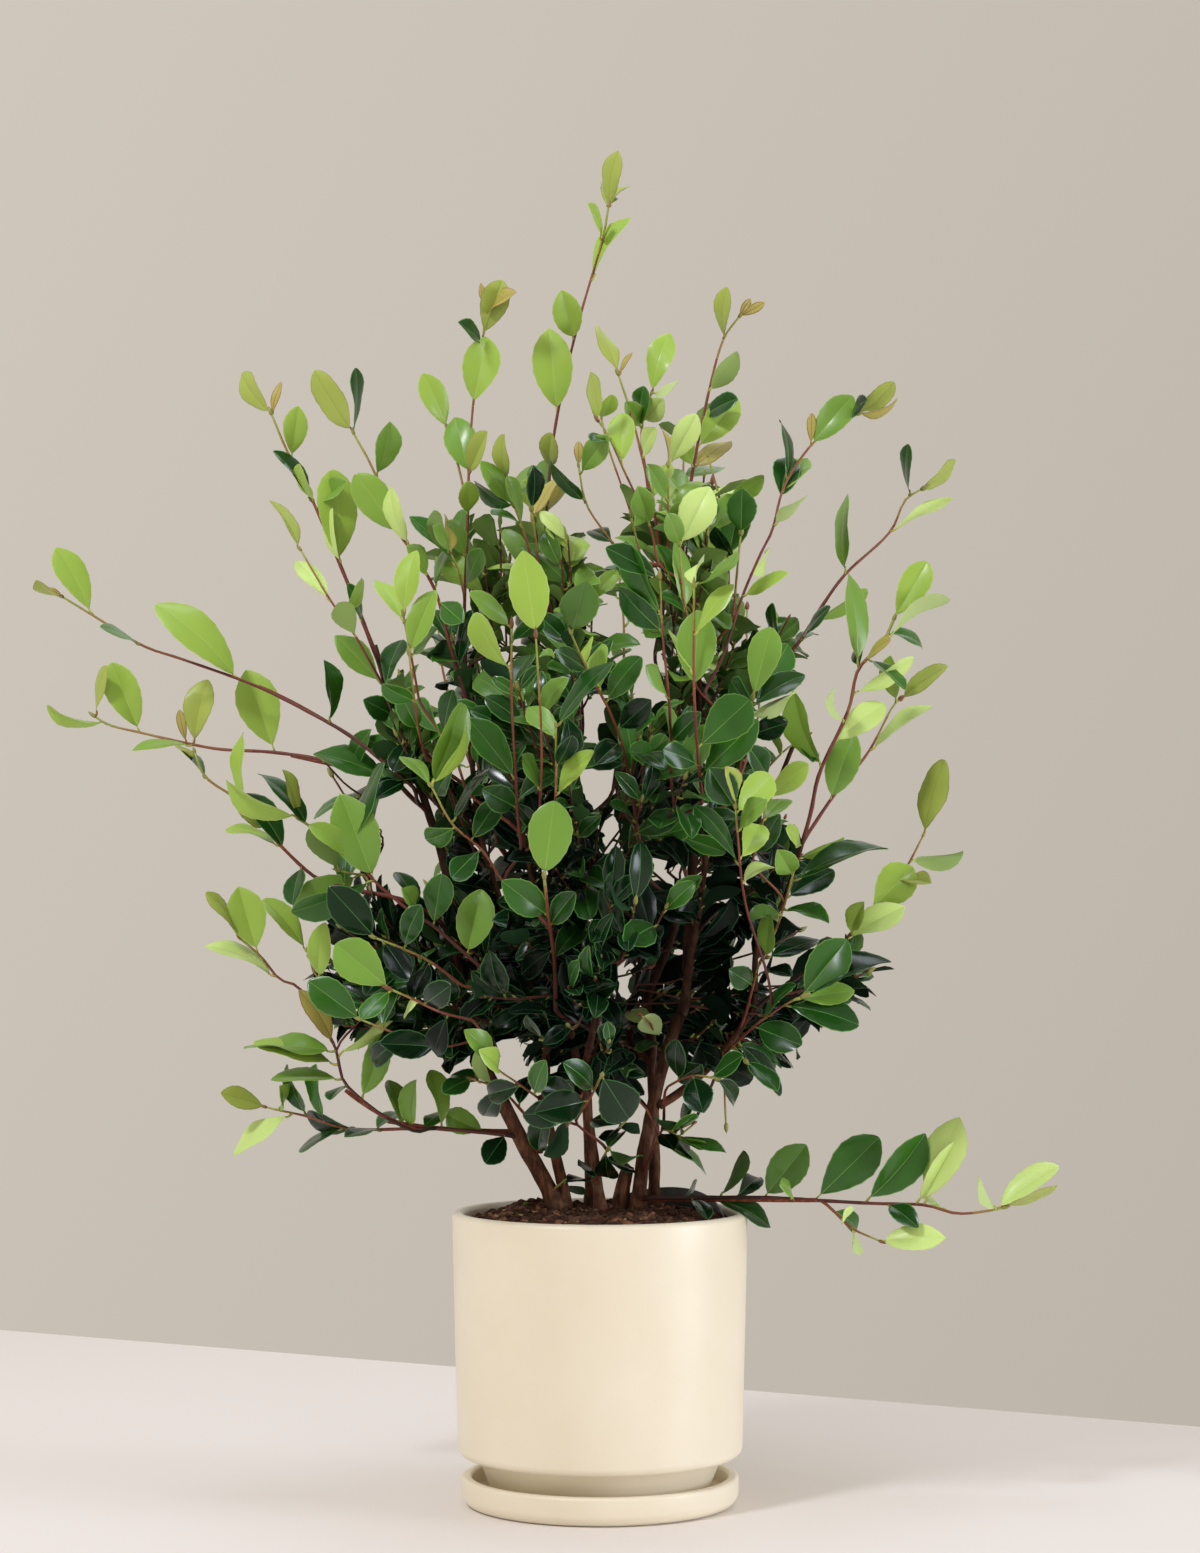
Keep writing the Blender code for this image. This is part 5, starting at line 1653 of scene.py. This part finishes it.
def make_bark(name):
    """Bark of every limb that belongs to the piece."""
    sides, relief, stops, flake = BARKS[name]
    whole = bmesh.new()
    for number, limb in enumerate(limbs):
        if limb["piece"] == name:
            shape = bmesh.new()
            bark_tube(shape, limb, sides, relief, BARK_SEED * (number + 1))
            part = bpy.data.meshes.new(name)
            shape.to_mesh(part)
            shape.free()
            whole.from_mesh(part)
            bpy.data.meshes.remove(part)
    return finished(name, whole, bark_material(name, stops, flake))


def make_buds():
    """Pointed buds at the tips of the shoots."""
    batches = []
    for limb in limbs:
        if limb["piece"] != "young_twigs":
            continue
        length = luck.uniform(*BUD_LENGTHS)
        width = length * luck.uniform(*BUD_WIDTHS)
        heading = limb["headings"][-1]
        line = limb["line"][-1] - heading * BUD_SUNK + heading * length * BUD_ALONG[:, None]
        rings, quads = tube_arrays(line, width * BUD_SHAPE, BUD_SIDES)
        batches.append((rings, quads, [int(luck.random() < BUDS_GREEN)] * len(quads)))
    return joined_mesh("leaf_buds", batches, bud_materials())


# ---------------------------------------------------------------- turned wares and soil


def rounded(centre, radius, start, end, steps=8):
    """Points of an arc in the (radius, height) plane, from start to end degrees."""
    angles = [math.radians(start + (end - start) * i / steps) for i in range(steps + 1)]
    return [(centre[0] + radius * math.cos(a), centre[1] + radius * math.sin(a)) for a in angles]


def spun(shape, parts, degrees, steps, whole):
    """Turns parts of a shape about Z; a whole turn is closed."""
    bmesh.ops.spin(
        shape,
        geom=parts,
        cent=(0.0, 0.0, 0.0),
        axis=UP,
        angle=math.radians(degrees),
        steps=steps,
        use_merge=whole,
    )


def turned(profile, steps=TURN_STEPS):
    """Solid of revolution about Z; the profile starts and ends on the axis."""
    shape = bmesh.new()
    points = [shape.verts.new((r, 0.0, z)) for r, z in profile]
    edges = [shape.edges.new(pair) for pair in zip(points, points[1:])]
    spun(shape, points + edges, 360.0, steps, True)
    bmesh.ops.remove_doubles(shape, verts=shape.verts, dist=CLOSE)
    return shape


def divided(points, longest):
    """Profile points with places added so that no stretch is longer than asked."""
    made = [points[0]]
    for (r0, z0), (r1, z1) in zip(points, points[1:]):
        parts = max(1, math.ceil(math.hypot(r1 - r0, z1 - z0) / longest))
        made += [(r0 + (r1 - r0) * i / parts, z0 + (z1 - z0) * i / parts) for i in range(1, parts + 1)]
    return made


def make_saucer():
    """Shallow saucer with a rounded rim."""
    lip = SAUCER_LIP_ROUND
    base = SAUCER_BASE_ROUND
    hollow = SAUCER_FLOOR_ROUND
    inner = SAUCER_RADIUS - SAUCER_WALL
    profile = [(0.0, 0.0), (SAUCER_RADIUS - base, 0.0)]
    profile += rounded((SAUCER_RADIUS - base, base), base, SAUCER_BASE_ARC, 0.0)
    profile += rounded((SAUCER_RADIUS - lip, SAUCER_HEIGHT - lip), lip, 0.0, 90.0)
    profile += rounded((inner + lip, SAUCER_HEIGHT - lip), lip, 90.0, 180.0)
    profile += rounded((inner - hollow, SAUCER_FLOOR + hollow), hollow, 0.0, -90.0)
    profile += [(0.0, SAUCER_FLOOR)]
    return finished("cream_saucer", turned(divided(profile, LONGEST_STRETCH)), glaze)


def make_pot():
    """Straight pot with a rounded lip and a recessed neck and foot, hollow inside."""
    inner_rim = POT_RIM_RADIUS - POT_WALL
    profile = [(0.0, FOOT_BOTTOM), (FOOT_RADIUS - FOOT_BEVEL, FOOT_BOTTOM)]
    profile += rounded((FOOT_RADIUS - FOOT_BEVEL, FOOT_BOTTOM + FOOT_BEVEL), FOOT_BEVEL, FOOT_ARC, 0.0)
    profile += [(NECK_RADIUS + out, BODY_BOTTOM + up) for out, up in NECK_FILLET]
    profile += rounded((POT_BASE_RADIUS - BODY_ROUND, BODY_BOTTOM + BODY_ROUND), BODY_ROUND, -90.0, 0.0)
    profile += rounded((POT_RIM_RADIUS - RIM_ROUND, POT_TOP - RIM_ROUND), RIM_ROUND, 0.0, 90.0)
    profile += rounded((inner_rim + RIM_ROUND, POT_TOP - RIM_ROUND), RIM_ROUND, 90.0, 180.0)
    profile += [(POT_BASE_RADIUS - POT_WALL, BODY_BOTTOM + POT_WALL + INNER_STEP)]
    profile += [(NECK_RADIUS - POT_WALL, BODY_BOTTOM + POT_WALL)]
    profile += [(FOOT_RADIUS - POT_WALL, FOOT_BOTTOM + POT_FLOOR), (0.0, FOOT_BOTTOM + POT_FLOOR)]
    return finished("cream_pot", turned(divided(profile, LONGEST_STRETCH)), glaze)


def soil_height(x, y):
    """Top of the potting soil, crumbly, falling to the wall and heaped behind the left stem."""
    radius = math.hypot(x, y)
    slope = (SOIL_TOP - SOIL_EDGE) / (SOIL_RADIUS - SOIL_LEVEL_RADIUS)
    height = SOIL_TOP - slope * max(0.0, radius - SOIL_LEVEL_RADIUS)
    heap = math.exp(-((x - HEAP[0]) ** 2 + (y - HEAP[1]) ** 2) / HEAP_RADIUS**2)
    spot = Vector((x, y, 0.0))
    crumble = sum(depth * noise.noise(spot * scale) for depth, scale in SOIL_ROUGHNESS)
    fade = min(1.0, max(0.0, (SOIL_RADIUS - radius) / SOIL_CALM_WIDTH))
    return height + HEAP_HEIGHT * heap + crumble * (SOIL_CALM + (1.0 - SOIL_CALM) * fade)


def make_soil():
    """Potting soil: the inside of the pot below, and a crumbly top."""
    floor = FOOT_BOTTOM + POT_FLOOR + SOIL_GAP
    shoulder = BODY_BOTTOM + POT_WALL
    inset = POT_WALL + 2 * SOIL_GAP
    side = [(0.0, floor), (FOOT_RADIUS - inset, floor), (NECK_RADIUS - inset, shoulder + SOIL_GAP)]
    side += [(POT_BASE_RADIUS - inset, shoulder + INNER_STEP + SOIL_GAP)]
    top = [(SOIL_RADIUS * (1 - i / SOIL_RINGS), SOIL_EDGE) for i in range(SOIL_RINGS + 1)]
    shape = turned(side + top, SOIL_SPOKES)
    for vert in shape.verts:
        if vert.co.z > SOIL_EDGE - CLOSE:
            vert.co.z = soil_height(vert.co.x, vert.co.y)
    return finished("soil_bed", shape, soil_material())


def make_crumbs():
    """Crumbs of compost, bark chips and a little moss that lie half sunk in the soil."""
    ball = bmesh.new()
    bmesh.ops.create_icosphere(ball, subdivisions=1, radius=1.0)
    corners = np.array([vert.co for vert in ball.verts])
    sides = [tuple(vert.index for vert in face.verts) for face in ball.faces]
    ball.free()
    batches = []
    for number in range(CRUMBS):
        radius = (SOIL_RADIUS - CRUMB_MARGIN) * math.sqrt(luck.random())
        angle = luck.uniform(0, FULL_TURN)
        x, y = radius * math.cos(angle), radius * math.sin(angle)
        kind = int(luck.choice(len(CRUMB_TONES), p=CRUMB_SHARES))
        low, high, flat = CRUMB_SIZES[kind]
        size = luck.uniform(low, high)
        uneven = corners * luck.uniform(*CRUMB_UNEVEN, (len(corners), 1))
        stretch = np.array((luck.uniform(*CRUMB_LENGTH), luck.uniform(*CRUMB_BREADTH), flat))
        upright = (luck.normal(0, CRUMB_LEAN), luck.normal(0, CRUMB_LEAN), 1.0)
        turn = Quaternion(upright, luck.uniform(0, 6.28)).to_matrix()
        level = (1.0, luck.normal(0, 1), 0.0)
        tilt = Quaternion(level, luck.normal(0, CRUMB_TILT)).to_matrix()
        middle = np.array((x, y, soil_height(x, y) + size * flat * luck.uniform(*CRUMB_SUNK)))
        stretched = uneven * size * stretch
        batches.append((stretched @ np.array(tilt @ turn).T + middle, sides, [kind] * len(sides)))
    return joined_mesh("soil_crumbs", batches, crumb_materials())


def bevelled(shape, edges, width, segments):
    """Rounds edges of a shape over."""
    bmesh.ops.bevel(
        shape,
        geom=edges,
        affect="EDGES",
        offset=width,
        segments=segments,
        profile=0.5,
        material=-1,
    )


def make_grow_pot_rim():
    """Arc of the black nursery pot's rim that shows above the soil."""
    shape = bmesh.new()
    inner = RIM_ARC_RADIUS - RIM_ARC_WALL
    foot = SOIL_EDGE - RIM_ARC_FOOT
    low = SOIL_EDGE - RIM_ARC_LOW
    reach = RIM_ARC_END - RIM_ARC_START
    corners = ((inner, foot), (RIM_ARC_RADIUS, foot), (RIM_ARC_RADIUS, RIM_ARC_PEAK), (inner, RIM_ARC_PEAK))
    start = Matrix.Rotation(math.radians(RIM_ARC_START), 3, "Z")
    section = shape.faces.new([shape.verts.new(start @ Vector((r, 0.0, z))) for r, z in corners])
    spun(shape, [section, *section.edges, *section.verts], reach, RIM_ARC_STEPS, False)
    for vert in shape.verts:
        if vert.co.z > foot + MM:
            turned_by = math.degrees(math.atan2(vert.co.y, vert.co.x)) - RIM_ARC_START
            share = min(max(turned_by / reach, 0.0), 1.0)
            vert.co.z = low + (RIM_ARC_PEAK - low) * math.sin(math.pi * share) ** RIM_ARC_SHAPE
    bmesh.ops.recalc_face_normals(shape, faces=shape.faces)
    edges = [edge for edge in shape.edges if len(edge.link_faces) == 2]
    long_edges = [edge for edge in edges if edge.calc_face_angle() > RIM_ARC_SHARP]
    bevelled(shape, long_edges, RIM_ARC_BEVEL, 2)
    return finished("grow_pot_lip", shape, grow_pot_plastic())


# ---------------------------------------------------------------- materials


def hue(code):
    """Linear colour of an sRGB hex value."""
    channels = [int(code[i : i + 2], 16) / 255.0 for i in (0, 2, 4)]
    return (*[c / 12.92 if c <= 0.04045 else ((c + 0.055) / 1.055) ** 2.4 for c in channels], 1.0)


def node(tree, kind, values=None, links=None, stops=(), settings=None):
    """Adds a node with its socket values, the links into it, its colour stops and its settings."""
    made = tree.nodes.new(kind)
    for name, value in (settings or {}).items():
        setattr(made, name, value)
    for name, value in (values or {}).items():
        made.inputs[name].default_value = value
    for name, source in (links or {}).items():
        tree.links.new(source, made.inputs[name])
    if stops:
        band = made.color_ramp
        while len(band.elements) < len(stops):
            band.elements.new(0.5)
        for element, (position, code) in zip(band.elements, stops):
            element.position = position
            element.color = hue(code)
    return made


def surface(name, values, build=None):
    """Material of one Principled surface; build adds the nodes that give its pattern."""
    material = bpy.data.materials.new(name)
    material.use_nodes = True
    tree = material.node_tree
    tree.nodes.clear()
    links = build(tree) if build else None
    shader = node(tree, "ShaderNodeBsdfPrincipled", values, links)
    node(tree, "ShaderNodeOutputMaterial", links={"Surface": shader.outputs["BSDF"]})
    return material


def satin_glaze():
    """Satin cream glaze on stoneware: an even, soft-lit cream, a shade warmer in faint clouds,
    with the very slight orange peel of a fired glaze in its sheen."""

    def build(tree):
        place = {"Vector": node(tree, COORDS).outputs["Object"]}
        clouds = node(tree, NOISE, {"Scale": CLOUD_SCALE, "Detail": 3.0, "Roughness": 0.55}, place)
        cream = node(tree, RAMP, None, {"Fac": clouds.outputs[0]}, ((0.30, "EADFC6"), (0.70, "EEE4CE")))
        peel = node(tree, NOISE, {"Scale": PEEL_SCALE, "Detail": 2.0}, place)
        bump = node(tree, BUMP, {"Strength": 0.10, "Distance": 0.0006}, {"Height": peel.outputs[0]})
        return {"Base Color": cream.outputs[0], "Normal": bump.outputs[0]}

    finish = {"Roughness": 0.38, "IOR": 1.50, "Specular IOR Level": 0.5}
    finish.update({"Sheen Weight": 0.18, "Sheen Roughness": 0.35})
    return surface("satin_cream_glaze", finish, build)


def soil_material():
    """Peat-based potting compost: dark, damp brown with paler dry crumbs, and no shine."""

    def build(tree):
        place = {"Vector": node(tree, COORDS).outputs["Object"]}
        coarse = node(tree, NOISE, {"Scale": CRUMB_SCALE, "Detail": 6.0, "Roughness": 0.72}, place)
        brown = node(tree, RAMP, None, {"Fac": coarse.outputs[0]}, SOIL_STOPS)
        bump = node(tree, BUMP, {"Strength": 0.9, "Distance": 0.0020}, {"Height": coarse.outputs[0]})
        return {"Base Color": brown.outputs[0], "Normal": bump.outputs[0]}

    return surface("potting_compost", {"Roughness": 0.95, "IOR": 1.40, "Specular IOR Level": 0.2}, build)


def grow_pot_plastic():
    """Moulded black polypropylene, scuffed: a dark satin edge with greyed handling marks."""

    def build(tree):
        place = {"Vector": node(tree, COORDS).outputs["Object"]}
        scuffs = node(tree, NOISE, {"Scale": SCUFF_SCALE, "Detail": 4.0, "Roughness": 0.7}, place)
        black = node(tree, RAMP, None, {"Fac": scuffs.outputs[0]}, ((0.45, "17171B"), (0.75, "3A3835")))
        return {"Base Color": black.outputs[0]}

    return surface("black_polypropylene", {"Roughness": 0.42, "IOR": 1.49}, build)


def mixed(tree, share, colour, code):
    """Colour with as much of another one laid over it as the share says."""
    links = {0: share, 6: colour}
    return node(tree, MIX, {7: hue(code)}, links, settings={"data_type": "RGBA"}).outputs[2]


def bark_material(name, stops, flake):
    """Camellia bark: smooth grey-brown to dark brown, streaked up the limb, dull, with a few
    lighter flakes; the arms are redder than the stems, and inside the crown the bark of the stems
    and boughs is darkened towards near-black as painted shade."""
    # the arms get no painted shade; the stems and boughs get it inside the crown
    crown_shade_share = 0.0 if name == "arm_bark" else CROWN_SHADE_SHARE

    def build(tree):
        place = {"Vector": node(tree, COORDS).outputs["Object"]}
        drawn_out = node(tree, "ShaderNodeMapping", {"Scale": (1.0, 1.0, STREAK_STRETCH)}, place)
        along = {"Vector": drawn_out.outputs[0]}
        streaks = node(tree, NOISE, {"Scale": STREAK_SCALE, "Detail": 5.0, "Roughness": 0.65}, along)
        brown = node(tree, RAMP, None, {"Fac": streaks.outputs[0]}, stops)
        patches = node(tree, NOISE, {"Scale": FLAKE_SCALE, "Detail": 3.0, "Roughness": 0.6}, place)
        where = node(tree, RAMP, None, {"Fac": patches.outputs[0]}, ((0.56, "000000"), (0.70, "999999")))
        flaked = mixed(tree, where.outputs[0], brown.outputs[0], flake)
        bump = node(tree, BUMP, {"Strength": 0.6, "Distance": 0.0008}, {"Height": streaks.outputs[0]})
        # painted shade: from the lower height to the upper one the bark's colour is mixed towards the
        # near-black brown
        height = node(tree, "ShaderNodeSeparateXYZ", None, place)
        limits = {"From Min": CROWN_SHADE_FROM, "From Max": CROWN_SHADE_TO, "To Max": crown_shade_share}
        depth = node(tree, MAP_RANGE, limits, {"Value": height.outputs["Z"]})
        damp = mixed(tree, depth.outputs[0], flaked, CROWN_SHADE_BARK)
        return {"Base Color": damp, "Normal": bump.outputs[0]}

    return surface(name, {"Roughness": 0.82, "IOR": 1.45, "Specular IOR Level": 0.3}, build)


def leaf_materials(tone):
    """Camellia leaf: leathery, with a waxy skin that shines more the older and darker it is; the
    underside is paler and dull, and the midrib is yellow-green; the toothed rim takes the midrib's
    paler colour as a painted highlight along the edge."""
    name, blade, under, rib, roughness, shine, coat, piece = TONES[tone]
    waxy = {"Roughness": roughness, "IOR": 1.45, "Specular IOR Level": shine}
    waxy.update({"Coat Weight": coat, "Coat Roughness": 0.18})
    dull = {"Roughness": 0.62, "IOR": 1.45, "Specular IOR Level": shine * UNDER_SHINE}
    colours = (blade, under, rib, STALK_TONES[piece])
    return [
        surface(f"leaf_{part}_{name}", {**finish, "Base Color": hue(code)})
        for part, finish, code in zip(LEAF_PARTS, (waxy, dull, waxy, dull), colours)
    ]


def twig_materials():
    """Young camellia bark: green and smooth at the tip, tan, then red-brown and duller with age."""
    return [
        surface(f"twig_{name}", {"Base Color": hue(code), "Roughness": roughness, "IOR": 1.45})
        for name, code, roughness in TWIG_TONES
    ]


def bud_materials():
    """Leaf buds: overlapping scales, red-brown or bronze-green, with a slight sheen."""
    return [
        surface(f"bud_{name}", {"Base Color": hue(code), "Roughness": 0.45, "IOR": 1.45})
        for name, code in BUD_TONES
    ]


def crumb_materials():
    """Dry peat, bark chips, husks and moss: each dull and without shine."""
    return [
        surface(f"crumb_{name}", {"Base Color": hue(code), "Roughness": 0.95, "Specular IOR Level": 0.2})
        for name, code in CRUMB_TONES
    ]


# ---------------------------------------------------------------- stage, light and camera


def make_table():
    """Pale matt table top, whose rear edge runs a little askew behind the pot."""
    shape = bmesh.new()
    bmesh.ops.create_cube(shape, size=1.0)
    for vert in shape.verts:
        x, y, z = vert.co
        vert.co = Vector((x * TABLE_LENGTH, (y - 0.5) * TABLE_DEPTH, (z - 0.5) * TABLE_THICK))
    edges = [edge for edge in shape.edges if all(vert.co.z > -0.5 * TABLE_THICK for vert in edge.verts)]
    bevelled(shape, edges, TABLE_BEVEL, 3)
    turn = Matrix.Rotation(math.radians(TABLE_TURN), 4, "Z")
    bmesh.ops.transform(shape, matrix=Matrix.Translation(Vector(TABLE_EDGE)) @ turn, verts=shape.verts)
    lacquer = surface("pale_table_lacquer", {"Base Color": hue(TABLE_TONE), "Roughness": 0.6})
    finished("table_top", shape, lacquer, smooth=False)


def light_world():
    """Plain warm grey surroundings, a touch lighter to the left and above."""
    world = bpy.data.worlds.new("studio")
    world.use_nodes = True
    tree = world.node_tree
    tree.nodes.clear()
    way = {0: node(tree, COORDS).outputs["Generated"]}
    slope = node(tree, "ShaderNodeVectorMath", {1: WORLD_WAY}, way, settings={"operation": "DOT_PRODUCT"})
    limits = {"From Min": WORLD_FROM, "From Max": WORLD_TO}
    share = node(tree, MAP_RANGE, limits, {"Value": slope.outputs["Value"]})
    tint = node(tree, RAMP, None, {"Fac": share.outputs[0]}, ((0.0, "BDB5AA"), (1.0, "CFC7BC")))
    shine = node(tree, "ShaderNodeBackground", {"Strength": WORLD_STRENGTH}, {"Color": tint.outputs[0]})
    node(tree, "ShaderNodeOutputWorld", links={"Surface": shine.outputs["Background"]})
    bpy.context.scene.world = world


def light_plant():
    """Large soft lights: a key from the front left above, a fill from the right, one behind."""
    for name, (place, target, size, watts, code, spread) in LAMPS.items():
        lamp = bpy.data.lights.new(name, "AREA")
        lamp.shape = "RECTANGLE"
        lamp.size, lamp.size_y = size
        lamp.energy = watts
        lamp.color = hue(code)[:3]
        lamp.spread = math.radians(spread)
        holder = bpy.data.objects.new(name, lamp)
        way = Vector(target) - Vector(place)
        holder.location = place
        holder.rotation_euler = way.to_track_quat("-Z", "Y").to_euler()
        bpy.context.collection.objects.link(holder)


def place_camera():
    """Camera of the front view, level with the lower crown."""
    camera = bpy.data.cameras.new("camera")
    camera.lens = LENS
    camera.sensor_width = SENSOR
    holder = bpy.data.objects.new("camera", camera)
    holder.location = EYE
    holder.rotation_euler = (math.radians(EYE_TILT), 0.0, 0.0)
    bpy.context.collection.objects.link(holder)
    bpy.context.scene.camera = holder
    bpy.context.scene.view_settings.view_transform = "Standard"


place_camera()
light_world()
light_plant()
make_table()

limbs = []
leaves = []
shoots = {}
wood = {"place": np.empty((0, 3)), "heading": np.empty((0, 3)), "radius": np.empty(0)}
front_chart = np.full((CHART_ROWS, CHART_COLUMNS), NOTHING_AHEAD)
opening = np.zeros((CHART_ROWS, CHART_COLUMNS))
stray = np.zeros((CHART_ROWS, CHART_COLUMNS))
wanted = {"front": np.zeros((CHART_ROWS, CHART_COLUMNS)), "side": np.zeros((CHART_ROWS, CHART_COLUMNS))}

glaze = satin_glaze()
pieces = {
    "cream_pot": make_pot(),
    "cream_saucer": make_saucer(),
    "soil_bed": make_soil(),
    "soil_crumbs": make_crumbs(),
    "grow_pot_lip": make_grow_pot_rim(),
}
want_cover()
grow_stems()
grow_shoots()
own_leaves()
mark_shown()
grow_outer_leaves()
grow_leader_leaves()
grow_fillers()
for name in BARKS:
    pieces[name] = make_bark(name)
pieces["young_twigs"] = make_twigs()
for name in STALK_TONES:
    pieces[name] = make_leaves(name)
pieces["leaf_buds"] = make_buds()

for name, (slot, nodes) in STANDS_FOR.items():
    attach(pieces[name], "root")
    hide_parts(*nodes)
